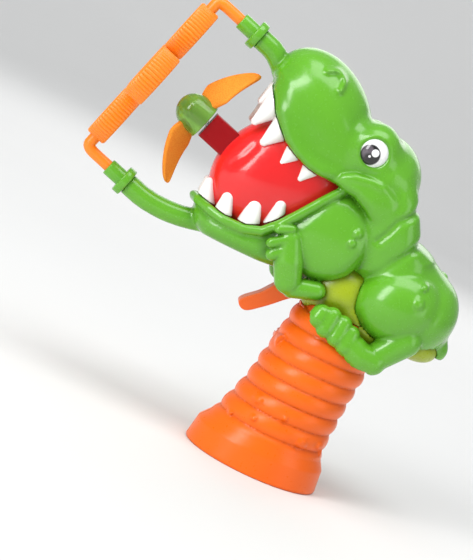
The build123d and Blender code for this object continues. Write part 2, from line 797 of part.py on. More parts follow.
GRIP_SCREWS = [(-9.8, 43.0), (14.6, 31.0), (-12.2, 18.0), (14.6, 14.0)]
CAP_SCREW_X = -14.0
CAP_SCREW_SEAT = 1.5  # depth of the seat under the cap screw's head

with BuildPart() as grip_shape:
    add(oval_stack(ribbed, 0))
    add(below_sole(0), mode=Mode.INTERSECT)
    add(oval_stack(FOOT, 0))
    add(grip_neck(0))
    for x, z, y, bump in ((-8.75, 21.0, -16.2, 1.6), (11.25, 13.25, -16.6, 1.9), (17.0, 15.5, -9.4, 1.5),
                          (-7.25, 14.5, -17.0, 1.0), (2.5, 18.75, -18.2, 0.9)):
        with Locations((x, y, z), (x, -y, z)):
            Sphere(bump)

with BuildPart() as grip_hollow:
    add(oval_stack(SMOOTH, 0))
    add(below_sole(-4.5), mode=Mode.INTERSECT)
    for height in (22.0, 38.0):
        with BuildSketch(Plane.XY.offset(height)):
            Rectangle(80, 80)
        extrude(amount=1.6, mode=Mode.SUBTRACT)
    with BuildSketch(Plane.XY.offset(-1)):
        Rectangle(80, 80)
    extrude(amount=3.9, mode=Mode.SUBTRACT)

with BuildPart() as bay:
    with BuildSketch(Plane.XY.offset(-1)):
        with Locations((BAY_X, 0)):
            Ellipse(BAY[0] + 0.4, BAY[1])
    extrude(amount=BAY_TOP + 1)
    with BuildSketch(Plane.XY.offset(-1)):
        with Locations((BAY_X, 0)):
            SlotOverall(2 * BAY[1], 2 * BAY[0] - 1.2, rotation=90)
    extrude(amount=BAY_TOP + 1)
    with BuildSketch(Plane.XY.offset(-1)):
        SlotCenterToCenter(17.6, 2 * 10.6)
    extrude(amount=1 + CAP_THICK + 0.2)
    with BuildSketch(Plane.XY.offset(-1)):
        with Locations((CAP_SCREW_X, 0)):
            Circle(4.2)
    extrude(amount=1 + CAP_THICK + 0.2)


def grip_half(side, screw_post):
    """One half of the grip; `side` is -1 for the near half and 1 for the far one."""
    with BuildPart() as half:
        add(grip_shape.part)
        add(grip_hollow.part, mode=Mode.SUBTRACT)
        for x, z in GRIP_SCREWS:
            add(post(x, z, screw_post, 0, 30, side).intersect(grip_shape.part))
        add(bay.part, mode=Mode.SUBTRACT)
        with BuildSketch(Plane.XY.offset(CAP_THICK + 0.2)):
            with Locations((CAP_SCREW_X, 0)):
                Circle(3.0)
                Circle(0.95, mode=Mode.SUBTRACT)
        extrude(amount=8)
        with BuildSketch(Plane.XY.offset(-1)):
            with Locations((CAP_SCREW_X, 0)):
                Circle(0.95)
        extrude(amount=14, mode=Mode.SUBTRACT)
        split(bisect_by=Plane.XZ, keep=Keep.TOP if side < 0 else Keep.BOTTOM)
        for x, z in GRIP_SCREWS:
            if side < 0:
                add(post(x, z, SCREW_SHANK + 0.1, 0, SCREW_DEPTH + 0.5, side), mode=Mode.SUBTRACT)
            else:
                add(post(x, z, SCREW_SHANK + 0.1, -1, 40, side), mode=Mode.SUBTRACT)
                add(post(x, z, SCREW_HEAD + 0.15, SCREW_SEAT, 40, side), mode=Mode.SUBTRACT)
    return half.part


save(grip_half(-1, 2.7), "grip_left")
save(grip_half(1, 3.9), "grip_right")


def side_screws(places):
    """Screws driven from the far side into the near half."""
    with BuildPart() as screws:
        for x, z in places:
            seat = Plane(origin=(x, SCREW_SEAT, z), x_dir=(1, 0, 0), z_dir=(0, -1, 0))
            add(round_screw(seat, SCREW_HEAD, SCREW_SHANK, SCREW_SEAT + SCREW_DEPTH))
    return screws.part


save(side_screws(BODY_SCREWS), "body_screws")
save(side_screws(GRIP_SCREWS), "grip_screws")

# ------------------------------------------------------------- cap and cells

with BuildPart() as battery_cap:
    with BuildSketch(Plane.XY):
        SlotCenterToCenter(17.6, 2 * 10.4)
        with Locations((CAP_SCREW_X, 0)):
            Circle(4.0)
    extrude(amount=CAP_THICK)
    with BuildSketch(Plane.XY):
        with Locations((CAP_SCREW_X, 0)):
            Circle(2.1)
    extrude(amount=CAP_SCREW_SEAT, mode=Mode.SUBTRACT)
    with BuildSketch(Plane.XY):
        with Locations((CAP_SCREW_X, 0)):
            Circle(SCREW_SHANK)
    extrude(amount=4, mode=Mode.SUBTRACT)

with BuildPart() as cap_screw:
    seat = Plane(origin=(CAP_SCREW_X, 0, CAP_SCREW_SEAT), x_dir=(1, 0, 0), z_dir=(0, 0, 1))
    with BuildSketch(seat):
        Circle(1.95)
    extrude(amount=-1.1)
    with BuildSketch(seat):
        Circle(0.85)
    extrude(amount=8)
    with BuildSketch(seat.offset(-1.1)):
        Rectangle(2.6, 0.5)
        Rectangle(0.5, 2.6)
    extrude(amount=0.7, mode=Mode.SUBTRACT)

with BuildPart() as link_contact:
    with BuildSketch(Plane.XY.offset(CAP_THICK + 0.05)):
        with Locations((BAY_X, 0)):
            Rectangle(9.0, 24.0)
    extrude(amount=0.5)

LINK_TOP = CAP_THICK + 0.55


def cell_spring(y):
    """A flat-wound contact spring under one cell."""
    with BuildPart() as spring:
        height = CELL_FLOOR - LINK_TOP - 0.9
        with BuildLine() as coil:
            Helix(pitch=height / 2, height=height, radius=3.0, center=(BAY_X, y, LINK_TOP + 0.35))
        with BuildSketch(coil.line ^ 0):
            Circle(0.3)
        sweep(path=coil.line, is_frenet=True)
    return spring.part


with BuildPart() as cell_springs:
    for y in (-CELL_SPACING, CELL_SPACING):
        add(cell_spring(y))


def cell(y, button_up):
    """A finger-sized dry cell, with its button at one end."""
    with BuildPart() as can:
        with BuildSketch(Plane.XY.offset(CELL_FLOOR if button_up else CELL_FLOOR + 1.0)):
            with Locations((BAY_X, y)):
                Circle(CELL_RADIUS)
        extrude(amount=CELL_LENGTH - 1.0)
        fillet(can.edges(), radius=0.5)
        with BuildSketch(Plane.XY.offset(CELL_FLOOR + CELL_LENGTH - 1.5 if button_up else CELL_FLOOR)):
            with Locations((BAY_X, y)):
                Circle(2.6)
        extrude(amount=1.5)
    return can.part


CONTACT_Z = CELL_FLOOR + CELL_LENGTH + 0.1

with BuildPart() as top_contacts:
    with BuildSketch(Plane.XY.offset(CONTACT_Z)):
        with Locations((BAY_X, -CELL_SPACING), (BAY_X, CELL_SPACING)):
            RectangleRounded(8.0, 9.0, 1.0)
    extrude(amount=0.5)

for part, name in (
    (battery_cap.part, "battery_cap"),
    (cap_screw.part, "cap_screw"),
    (link_contact.part, "link_contact"),
    (cell_springs.part, "cell_springs"),
    (cell(-CELL_SPACING, True), "cell_left"),
    (cell(CELL_SPACING, False), "cell_right"),
    (top_contacts.part, "top_contacts"),
):
    save(part, name)
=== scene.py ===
"""Looks of the hand-held dinosaur bubble machine.

The animal's shells, belly, mouth lining, teeth, eyes and grip are sculpted as smooth signed distance
fields and turned into meshes here.  The rings, collars, hub and foam blades are built point by point.
Lengths in the sculpting code are millimetres in the CAD's frame: -X is forwards and Y = 0 is the middle.
"""

import json
import math

import bmesh
import bpy
import numpy as np
from mathutils import Matrix, Vector


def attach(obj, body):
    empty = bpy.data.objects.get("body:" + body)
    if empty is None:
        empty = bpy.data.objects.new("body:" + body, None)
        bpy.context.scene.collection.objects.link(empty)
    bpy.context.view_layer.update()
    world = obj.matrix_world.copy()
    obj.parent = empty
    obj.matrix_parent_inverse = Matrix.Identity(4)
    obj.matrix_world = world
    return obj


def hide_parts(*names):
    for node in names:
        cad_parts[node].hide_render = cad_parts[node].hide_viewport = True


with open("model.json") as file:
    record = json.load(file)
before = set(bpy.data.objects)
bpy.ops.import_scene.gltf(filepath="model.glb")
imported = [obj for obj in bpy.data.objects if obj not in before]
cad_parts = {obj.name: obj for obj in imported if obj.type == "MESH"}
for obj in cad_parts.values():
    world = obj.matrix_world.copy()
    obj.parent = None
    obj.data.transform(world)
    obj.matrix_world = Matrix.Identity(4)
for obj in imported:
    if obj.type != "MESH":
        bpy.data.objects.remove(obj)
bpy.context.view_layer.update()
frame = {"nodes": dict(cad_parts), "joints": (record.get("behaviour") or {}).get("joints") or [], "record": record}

MM = 0.001

# ---- directions

FAN_JOINT = next(joint for joint in frame["joints"] if joint["name"] == "fan_spin")
BLOW = Vector(FAN_JOINT["axis"]).normalized()
LIFT = Vector((BLOW.z, 0, -BLOW.x))
SIDEWAYS = Vector((0, 1, 0))
NOSE = Vector(FAN_JOINT["pos_m"]) / MM
RINGS_AHEAD = 24.5  # from the nose's front to the rings' middle plane
RINGS_MIDDLE = NOSE + RINGS_AHEAD * BLOW
RING_PITCH = 18.6  # between the middles of neighbouring rings
ARM_SPAN = 32.3  # from the air's line to the middle of each ring arm
TUBES_END = -18.3  # the end of the green tubes, forward of the rings' middle plane


def along_air(forward, up, side=0.0):
    """The point `forward` of the rings' middle plane, `up` from the air's line and `side` along +Y."""
    return RINGS_MIDDLE + BLOW * forward + LIFT * up + Vector((0, side, 0))


# ---- camera, light

CAMERA_DISTANCE = 600.0
VIEW_HEIGHT = 186.66667  # what the render shows at the middle plane, from top to bottom
SENSOR = 36
LOOK_AT = Vector((-32.4, 0, 54.8))
TO_CAMERA = Vector((-0.094, -0.988, 0.12)).normalized()
ROLL = math.radians(25)  # the toy leans in its box


def add_camera():
    camera = bpy.data.objects.new("camera", bpy.data.cameras.new("camera"))
    bpy.context.scene.collection.objects.link(camera)
    camera.location = (LOOK_AT + TO_CAMERA * CAMERA_DISTANCE) * MM
    up = Vector((-math.sin(ROLL), 0, math.cos(ROLL)))
    side = up.cross(TO_CAMERA).normalized()
    up = TO_CAMERA.cross(side)
    camera.rotation_euler = Matrix((side, up, TO_CAMERA)).transposed().to_euler()
    camera.data.sensor_width = SENSOR
    camera.data.lens = SENSOR * CAMERA_DISTANCE / VIEW_HEIGHT
    camera.data.clip_start = 0.01
    bpy.context.scene.camera = camera


def add_light(name, place, target, size, power):
    data = bpy.data.lights.new(name, "AREA")
    data.shape = "RECTANGLE"
    data.size, data.size_y = size
    data.energy = power
    light = bpy.data.objects.new(name, data)
    bpy.context.scene.collection.objects.link(light)
    light.location = place
    light.rotation_euler = (Vector(target) - Vector(place)).to_track_quat("-Z", "Y").to_euler()


# The backdrop, in metres: a floor that bends up into a wall.
FLOOR_FRONT, BEND_START, BEND_RADIUS, WALL_TOP, BACKDROP_HALF_WIDTH = -4.0, 1.6, 1.2, 5.0, 6.0


def backdrop_mesh():
    bend = [(BEND_START + BEND_RADIUS * math.sin(a), BEND_RADIUS - BEND_RADIUS * math.cos(a))
            for a in np.linspace(0, math.pi / 2, 25)]
    line = [(FLOOR_FRONT, 0.0), *bend, (BEND_START + BEND_RADIUS, WALL_TOP)]
    points = [(x, y, z) for y, z in line for x in (-BACKDROP_HALF_WIDTH, BACKDROP_HALF_WIDTH)]
    faces = [(2 * k, 2 * k + 1, 2 * k + 3, 2 * k + 2) for k in range(len(line) - 1)]
    sheet = bpy.data.meshes.new("backdrop")
    sheet.from_pydata(points, [], faces)
    sheet.polygons.foreach_set("use_smooth", [True] * len(sheet.polygons))
    sheet.materials.append(plain_floor())
    return sheet


def add_studio():
    bpy.context.scene.view_settings.view_transform = "Standard"
    world = bpy.data.worlds.new("studio")
    bpy.context.scene.world = world
    world.use_nodes = True
    background = world.node_tree.nodes["Background"]
    background.inputs["Color"].default_value = (0.92, 0.94, 0.97, 1)
    background.inputs["Strength"].default_value = 0.42
    middle = (-0.025, 0, 0.08)
    add_light("key_left", (-0.75, -0.70, 0.55), middle, (0.35, 0.9), 8.5)
    add_light("top", (-0.05, -0.25, 0.95), middle, (0.8, 0.5), 4.5)
    add_light("fill_right", (0.8, -0.6, 0.2), middle, (0.5, 0.9), 2.2)
    add_light("behind", (0.2, 0.9, 0.6), middle, (0.9, 0.6), 2.4)
    add_light("backdrop", (0, 0.9, 1.6), (0, 2.6, 0.4), (2.5, 0.6), 12)
    floor = bpy.data.objects.new("backdrop", backdrop_mesh())
    bpy.context.scene.collection.objects.link(floor)


# ---- materials


class Paint:
    """Builds one node material around a Principled shader."""

    def __init__(self, name, colour, roughness, **settings):
        self.material = bpy.data.materials.new(name)
        self.material.use_nodes = True
        self.tree = self.material.node_tree
        self.shader = self.tree.nodes["Principled BSDF"]
        self.shader.inputs["Base Color"].default_value = (*colour, 1)
        self.shader.inputs["Roughness"].default_value = roughness
        for socket, value in settings.items():
            self.shader.inputs[socket.replace("_", " ")].default_value = value
        self.place = self.node("ShaderNodeTexCoord").outputs["Object"]

    def node(self, kind, inputs=None, **values):
        node = self.tree.nodes.new(kind)
        for key, value in values.items():
            setattr(node, key, value)
        for socket, value in (inputs or {}).items():
            node.inputs[socket].default_value = value
        return node

    def link(self, output, node, socket):
        self.tree.links.new(output, node.inputs[socket])

    def noise(self, scale, detail=3.0, roughness=0.5):
        noise = self.node("ShaderNodeTexNoise", {"Scale": scale, "Detail": detail, "Roughness": roughness})
        self.link(self.place, noise, "Vector")
        return noise.outputs["Fac"]

    def ramp(self, factor, *stops):
        """A colour that runs between two stops, each a factor and its colour."""
        ramp = self.node("ShaderNodeValToRGB")
        for element, (position, colour) in zip(ramp.color_ramp.elements, stops):
            element.position = position
            element.color = (*colour, 1)
        self.link(factor, ramp, "Fac")
        return ramp.outputs["Color"]

    def mix(self, factor, first, second):
        """The first colour where the factor is 0, the second where it is 1."""
        mix = self.node("ShaderNodeMix", data_type="RGBA")
        for socket, value in (("Factor", factor), ("A", first), ("B", second)):
            slot = [s for s in mix.inputs if s.name == socket and s.enabled][0]
            if isinstance(value, bpy.types.NodeSocket):
                self.tree.links.new(value, slot)
            else:
                slot.default_value = (*value, 1)
        return [s for s in mix.outputs if s.enabled][0]

    def value(self, operation, *terms):
        math_node = self.node("ShaderNodeMath", operation=operation)
        for socket, term in zip(math_node.inputs, terms):
            if isinstance(term, bpy.types.NodeSocket):
                self.tree.links.new(term, socket)
            else:
                socket.default_value = term
        return math_node.outputs[0]

    def grade(self, factor, low, high):
        """A number that runs from low to high as the factor runs from 0.3 to 0.7."""
        ends = {"From Min": 0.3, "From Max": 0.7, "To Min": low, "To Max": high}
        span = self.node("ShaderNodeMapRange", ends)
        self.link(factor, span, "Value")
        return span.outputs[0]

    def bump(self, height, strength, distance):
        bump = self.node("ShaderNodeBump", {"Strength": strength, "Distance": distance})
        self.link(height, bump, "Height")
        self.link(bump.outputs[0], self.shader, "Normal")

    def crease(self):
        """How deep in a crease each point of a sculpted mesh is, from 0 to 1: the mask for painted crease shade.
        """
        return self.node("ShaderNodeAttribute", attribute_name="crease").outputs["Fac"]

    def split_place(self):
        """The x, y and z of the point that is shaded, in metres."""
        split = self.node("ShaderNodeSeparateXYZ")
        self.link(self.place, split, "Vector")
        return split.outputs

    def set(self, socket, output):
        self.link(output, self.shader, socket)
        return self


def plain_floor():
    paint = Paint("floor", (0.83, 0.83, 0.82), 0.9)
    tone = paint.ramp(paint.noise(3), (0.3, (0.82, 0.82, 0.81)), (0.7, (0.84, 0.84, 0.83)))
    return paint.set("Base Color", tone).material


def moulded(name, colour, dark, roughness, **settings):
    """Glossy moulded plastic: a slow drift of tone, painted shade that darkens its creases, faint flow ripples."""
    paint = Paint(name, colour, roughness, **settings)
    slow = paint.noise(38, 2.0)
    base = paint.mix(paint.grade(slow, 0.0, 0.35), colour, dark)
    # painted shade: creases darken towards a deeper copy of the dark colour, as far as the crease attribute says
    deep = tuple(c * 0.55 for c in dark)
    base = paint.mix(paint.value("MULTIPLY", paint.crease(), 0.6), base, deep)
    paint.set("Base Color", base)
    fine = paint.noise(900, 3.0)
    paint.set("Roughness", paint.grade(fine, roughness - 0.03, roughness + 0.07))
    ripple = paint.value("ADD", paint.noise(120, 2.0), paint.value("MULTIPLY", fine, 0.08))
    paint.bump(ripple, 0.12, 0.0006)
    return paint.material


def metal(name, colour, roughness):
    paint = Paint(name, colour, roughness, Metallic=1.0)
    grain = paint.noise(700, 4.0, 0.6)
    paint.set("Base Color", paint.mix(paint.grade(grain, 0, 1), tuple(c * 0.8 for c in colour), colour))
    paint.set("Roughness", paint.grade(grain, roughness - 0.08, roughness + 0.12))
    paint.bump(grain, 0.15, 0.0001)
    return paint.material


def foam(name):
    """Closed-cell foam: matte, with fine open pores."""
    paint = Paint(name, (0.88, 0.27, 0.03), 0.85)
    cells = paint.node("ShaderNodeTexVoronoi", {"Scale": 2600}, feature="F1")
    paint.link(paint.place, cells, "Vector")
    pore = paint.grade(cells.outputs["Distance"], 0, 1)
    tone = paint.mix(pore, (0.98, 0.37, 0.03), (0.90, 0.26, 0.012))
    tone = paint.mix(paint.grade(paint.noise(60), 0, 0.35), tone, (0.82, 0.22, 0.01))
    paint.set("Base Color", tone)
    paint.bump(paint.value("SUBTRACT", 1.0, pore), 0.35, 0.0001)
    return paint.material


def clear_green(name):
    """The hub's slightly see-through plastic."""
    paint = Paint(name, (0.34, 0.62, 0.12), 0.14, Transmission_Weight=0.45, IOR=1.49)
    base = paint.mix(paint.grade(paint.noise(160), 0, 0.5), (0.24, 0.50, 0.07), (0.13, 0.34, 0.03))
    paint.set("Base Color", base)
    paint.bump(paint.noise(300), 0.1, 0.0004)
    return paint.material


def enamel(name):
    paint = Paint(name, (0.90, 0.90, 0.88), 0.18, Subsurface_Weight=0.08)
    paint.shader.inputs["Subsurface Radius"].default_value = (0.002, 0.002, 0.002)
    base = paint.mix(paint.grade(paint.noise(120), 0, 0.4), (0.93, 0.93, 0.91), (0.84, 0.84, 0.82))
    # painted shade: the teeth's creases darken towards a dull pink, as far as the crease attribute says
    base = paint.mix(paint.value("MULTIPLY", paint.crease(), 0.45), base, (0.62, 0.50, 0.47))
    paint.set("Base Color", base)
    paint.bump(paint.noise(260), 0.08, 0.0005)
    return paint.material


EYE = (-11.0, 112.7)  # middle of the eye, x and z


def printed_eye(name):
    """A white eye with a printed pupil, laid out in the side view around the eye's middle."""
    paint = Paint(name, (0.9, 0.9, 0.9), 0.12, Coat_Weight=0.5, Coat_Roughness=0.05)
    place = paint.split_place()

    def squared_share(axis, middle, radius):
        """The square of the way from an oval's middle to its edge, along one axis."""
        away = paint.value("SUBTRACT", place[axis], middle * MM)
        share = paint.value("ABSOLUTE", paint.value("DIVIDE", away, radius * MM))
        return paint.value("POWER", share, 2.0)

    def disc(x, z, radius_x, radius_z, edge=0.12):
        """1 inside an oval in the side view, 0 outside, with a soft edge."""
        total = paint.value("ADD", squared_share("X", x, radius_x), squared_share("Z", z, radius_z))
        reach = paint.value("SQRT", total)
        step = paint.node("ShaderNodeMapRange", {"From Min": 1 + edge / 2, "From Max": 1 - edge / 2})
        paint.link(reach, step, "Value")
        return step.outputs[0]

    x, z = EYE
    colour = paint.mix(paint.grade(paint.noise(200), 0, 0.3), (0.93, 0.93, 0.93), (0.86, 0.87, 0.88))
    colour = paint.mix(disc(x - 1.2, z - 1.0, 3.25, 3.4), colour, (0.008, 0.008, 0.008))
    colour = paint.mix(disc(x - 2.3, z - 0.4, 1.7, 2.2, 0.3), colour, (0.12, 0.10, 0.12))
    colour = paint.mix(disc(x - 0.9, z - 1.9, 1.9, 1.5, 0.5), colour, (0.008, 0.008, 0.008))
    colour = paint.mix(disc(x + 0.05, z + 0.15, 1.25, 1.25), colour, (0.95, 0.95, 0.95))
    colour = paint.mix(disc(x - 1.25, z - 1.55, 0.4, 0.4, 0.3), colour, (0.9, 0.9, 0.9))
    paint.set("Base Color", colour)
    paint.bump(paint.noise(500), 0.05, 0.0002)
    return paint.material


COPPER_FROM = 0.042  # height of the copper-coloured band's lower edge, in metres


def wrapped_cell(name):
    """A dry cell's printed wrapper: dark, with a copper-coloured end band."""
    paint = Paint(name, (0.05, 0.06, 0.08), 0.3, Coat_Weight=0.4)
    band = paint.value("GREATER_THAN", paint.split_place()["Z"], COPPER_FROM)
    base = paint.mix(band, (0.04, 0.05, 0.07), (0.62, 0.30, 0.12))
    paint.set("Base Color", paint.mix(paint.grade(paint.noise(300), 0, 0.25), base, (0.1, 0.1, 0.1)))
    return paint.material


def make_materials():
    green = dict(Specular_IOR_Level=0.5, Coat_Weight=0.25, Coat_Roughness=0.08)
    return {
        "green": moulded("green_plastic", (0.130, 0.43, 0.018), (0.078, 0.32, 0.010), 0.22, **green),
        "lime": moulded("lime_plastic", (0.36, 0.46, 0.008), (0.22, 0.34, 0.005), 0.28),
        "red": moulded("red_plastic", (0.86, 0.018, 0.018), (0.55, 0.006, 0.008), 0.2, Coat_Weight=0.3),
        # a darker copy of the red plastic: a darker tone of its own together with painted shade
        "dark_red": moulded("dark_red_and_shade_plastic", (0.33, 0.001, 0.004), (0.20, 0.001, 0.003), 0.3,
                            Specular_IOR_Level=0.25),
        "white": enamel("tooth_plastic"),
        "eye": printed_eye("eye_print"),
        "orange": moulded("orange_plastic", (0.94, 0.150, 0.003), (0.74, 0.085, 0.001), 0.3,
                          Specular_IOR_Level=0.35),
        "orange_wand": moulded("orange_wand_plastic", (0.98, 0.27, 0.012), (0.88, 0.18, 0.006), 0.32),
        "trigger_orange": moulded("trigger_plastic", (0.88, 0.135, 0.006), (0.65, 0.07, 0.003), 0.3),
        "foam": foam("foam_blade"),
        "hub_green": clear_green("hub_plastic"),
        "steel": metal("steel", (0.60, 0.60, 0.61), 0.3),
        "nickel": metal("nickel", (0.70, 0.67, 0.60), 0.22),
        "brass": metal("brass", (0.80, 0.58, 0.24), 0.25),
        "black": moulded("black_plastic", (0.02, 0.02, 0.02), (0.012, 0.012, 0.012), 0.45),
        "grey": moulded("grey_plastic", (0.25, 0.25, 0.26), (0.18, 0.18, 0.18), 0.45),
        "cell": wrapped_cell("cell_wrapper"),
        "white_nylon": moulded("nylon", (0.75, 0.73, 0.66), (0.62, 0.60, 0.53), 0.4),
    }


# ---- signed distance shapes
# A point set p is (x, y, z): three arrays in millimetres, with y the distance from the middle plane.


def turned(p, centre, turn):
    """The points about a centre, turned in the side view so that `turn` degrees lies along u."""
    x, y, z = p[0] - centre[0], p[1] - centre[1], p[2] - centre[2]
    c, s = math.cos(math.radians(turn)), math.sin(math.radians(turn))
    return x * c + z * s, y, z * c - x * s


def ellipsoid(p, centre, sizes, turn=0.0):
    u, v, w = turned(p, centre, turn)
    a, b, c = sizes
    near = np.sqrt((u / a) ** 2 + (v / b) ** 2 + (w / c) ** 2)
    slope = np.sqrt((u / a**2) ** 2 + (v / b**2) ** 2 + (w / c**2) ** 2)
    return near * (near - 1) / np.maximum(slope, 1e-5)


def bar(p, start, end, start_radius, end_radius=None):
    """A round-ended bar whose radius runs from one end's to the other's."""
    if end_radius is None:
        end_radius = start_radius
    axis = [b - a for a, b in zip(start, end)]
    length2 = sum(a * a for a in axis)
    rel = [q - a for q, a in zip(p, start)]
    t = np.clip(sum(r * a for r, a in zip(rel, axis)) / length2, 0, 1)
    away = np.sqrt(sum((r - t * a) ** 2 for r, a in zip(rel, axis)))
    return away - (start_radius + (end_radius - start_radius) * t)


def chain(p, points, radii):
    """Bars through a list of points."""
    found = np.inf
    for (a, b), (ra, rb) in zip(zip(points, points[1:]), zip(radii, radii[1:])):
        found = np.minimum(found, bar(p, a, b, ra, rb))
    return found


def outline(p, corners):
    """Distance to a polygon in the side view, negative inside, the same at every y."""
    x, z = p[0], p[2]
    best = np.full(x.shape, 1e9, x.dtype)
    inside = np.zeros(x.shape, bool)
    for (ax, az), (bx, bz) in zip(corners, corners[1:] + corners[:1]):
        ex, ez = bx - ax, bz - az
        rx, rz = x - ax, z - az
        t = np.clip((rx * ex + rz * ez) / (ex * ex + ez * ez), 0, 1)
        best = np.minimum(best, (rx - ex * t) ** 2 + (rz - ez * t) ** 2)
        crosses = ((az > z) != (bz > z)) & (rx < ex * rz / (ez if ez else 1e-9))
        inside ^= crosses
    return np.where(inside, -1, 1).astype(x.dtype) * np.sqrt(best)


def join(a, b, soft=0.0):
    """Union, with a fillet of about `soft`."""
    if not soft:
        return np.minimum(a, b)
    h = np.maximum(soft - np.abs(a - b), 0) / soft
    return np.minimum(a, b) - h * h * soft / 4


def overlap(a, b, soft=0.0):
    return -join(-a, -b, soft)


def cut(a, b, soft=0.0):
    """What is in a and outside b."""
    return -join(-a, b, soft)


def rounded_path(points, times=2):
    """Chaikin's corner cutting, which keeps the ends."""
    points = [tuple(q) for q in points]
    for _ in range(times):
        finer = [points[0]]
        for a, b in zip(points, points[1:]):
            finer.append(tuple(0.75 * i + 0.25 * j for i, j in zip(a, b)))
            finer.append(tuple(0.25 * i + 0.75 * j for i, j in zip(a, b)))
        points = finer + [points[-1]]
    return points


def line_bump(p, points, width):
    """1 on a line in the side view, falling to 0 over `width`."""
    flat = (p[0], np.zeros_like(p[0]), p[2])
    away = chain(flat, [(x, 0, z) for x, z in points], [0] * len(points))
    return np.exp(-((away / width) ** 2))


def wart(p, x, z, width):
    """1 over a round spot in the side view, with a fairly steep edge."""
    return np.exp(-((((p[0] - x) ** 2 + (p[2] - z) ** 2) / width**2) ** 2))


# ---- meshes from fields


def field_grid(low, high, step):
    axes = [np.arange(a, b + step, step, dtype=np.float32) for a, b in zip(low, high)]
    return axes, np.meshgrid(*axes, indexing="ij")


def surface_net(axes, values):
    """Vertices and quads of the surface where the values change sign."""
    shape = values.shape
    sign = values < 0
    cells = tuple(n - 1 for n in shape)
    total = np.zeros(cells + (3,), np.float32)
    count = np.zeros(cells, np.float32)
    window = [slice(0, n) for n in cells]
    for axis in range(3):
        others = [i for i in range(3) if i != axis]
        for da in (0, 1):
            for db in (0, 1):
                first = list(window)
                first[others[0]] = slice(da, cells[others[0]] + da)
                first[others[1]] = slice(db, cells[others[1]] + db)
                second = list(first)
                second[axis] = slice(1, cells[axis] + 1)
                a, b = values[tuple(first)], values[tuple(second)]
                crossed = (a < 0) != (b < 0)
                t = np.where(crossed, a / np.where(crossed, a - b, 1), 0)
                total[..., axis] += np.where(crossed, t, 0)
                total[..., others[0]] += crossed * np.float32(da)
                total[..., others[1]] += crossed * np.float32(db)
                count += crossed
    busy = count > 0
    number = np.full(cells, -1, np.int64)
    number[busy] = np.arange(busy.sum())
    where = np.argwhere(busy)
    step = axes[0][1] - axes[0][0]
    corner = np.array([axis[0] for axis in axes], np.float32)
    vertices = corner + (where + total[busy] / count[busy][:, None]) * step
    quads = []
    for axis in range(3):
        i, j = [(1, 2), (2, 0), (0, 1)][axis]
        inner = [slice(0, n - 1) if k == axis else slice(1, n - 1) for k, n in enumerate(shape)]
        nxt = list(inner)
        nxt[axis] = slice(1, shape[axis])
        here, there = sign[tuple(inner)], sign[tuple(nxt)]
        spots = np.argwhere(here != there)
        offset = np.array([0 if k == axis else 1 for k in range(3)])
        spots_cell = spots + offset
        step_i, step_j = np.eye(3, dtype=int)[i], np.eye(3, dtype=int)[j]
        corners = [spots_cell - step_i - step_j, spots_cell - step_j, spots_cell, spots_cell - step_i]
        face = np.stack([number[tuple(c.T)] for c in corners], 1)
        flip = ~here[tuple(spots.T)]
        face[flip] = face[flip][:, ::-1]
        quads.append(face)
    return vertices, np.concatenate(quads)


def settle(vertices, shape, rounds=2, reach=0.35):
    """Moves vertices onto the field's exact surface, and returns their outward directions too."""
    tiny = 0.05
    for done in range(rounds + 1):
        p = tuple(vertices[:, k] for k in range(3))
        here = shape(p)
        slope = []
        for k in range(3):
            past, short = (tuple(p[m] + (shift if m == k else 0) for m in range(3))
                           for shift in (tiny, -tiny))
            slope.append(shape(past) - shape(short))
        slope = np.stack(slope, 1) / (2 * tiny)
        size = np.maximum((slope**2).sum(1), 0.04)
        move = np.clip(here / size, -reach, reach)[:, None] * slope
        if done < rounds:
            vertices = vertices - move
    return vertices, slope / np.maximum(np.linalg.norm(slope, axis=1), 1e-6)[:, None]


def crease_amount(vertices, normals, shape, reach=4.0):
    """How much of the space ahead of each vertex the shape fills: 0 in the open, 1 deep in a crease; the materials
    paint shade by it.
    """
    found = np.zeros(len(vertices), np.float32)
    for distance in (0.35 * reach, 0.7 * reach, reach):
        ahead = vertices + normals * distance
        free = shape(tuple(ahead[:, k] for k in range(3)))
        found += np.clip(1 - free / distance, 0, 1) / 3
    return np.clip(found * 1.4, 0, 1)


def new_piece(name, mesh, body, slot, *nodes):
    """Puts a finished mesh into the scene as a piece of the object, in its slot's material."""
    piece = bpy.data.objects.new(name, mesh)
    bpy.context.scene.collection.objects.link(piece)
    mesh.materials.append(MATERIALS[slot])
    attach(piece, body)
    if nodes:
        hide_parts(*nodes)


def mesh_from(name, vertices, faces, crease=None, sharp=35):
    mesh = bpy.data.meshes.new(name)
    in_metres = (np.asarray(vertices) * MM).tolist()
    mesh.from_pydata([tuple(v) for v in in_metres], [], [tuple(f) for f in faces])
    mesh.update()
    if crease is not None:
        attribute = mesh.attributes.new("crease", "FLOAT", "POINT")
        attribute.data.foreach_set("value", np.asarray(crease, np.float32))
    mesh.polygons.foreach_set("use_smooth", [True] * len(mesh.polygons))
    mesh.set_sharp_from_angle(angle=math.radians(sharp))
    return mesh


def sculpt(name, shape, low, high, step, outer=None):
    """A mesh of a field.

    shape takes points whose y may be negative.  outer is the field that shades the creases.
    """
    axes, grid = field_grid(low, high, step)
    vertices, quads = surface_net(axes, shape(tuple(grid)))
    vertices, normals = settle(vertices, shape)
    crease = crease_amount(vertices, normals, outer or shape)
    return mesh_from(name, vertices, quads, crease)


def half(shape, gap=0.04):
    """The part of a shape on the +Y side, short of the middle plane by the gap."""
    return lambda p: overlap(shape((p[0], np.abs(p[1]), p[2])), gap - p[1])


def mirror(mesh):
    mesh.transform(Matrix.Scale(-1, 4, SIDEWAYS))
    mesh.flip_normals()


def folded(shape):
    """The same shape on both sides of the middle plane."""
    return lambda p: shape((p[0], np.abs(p[1]), p[2]))


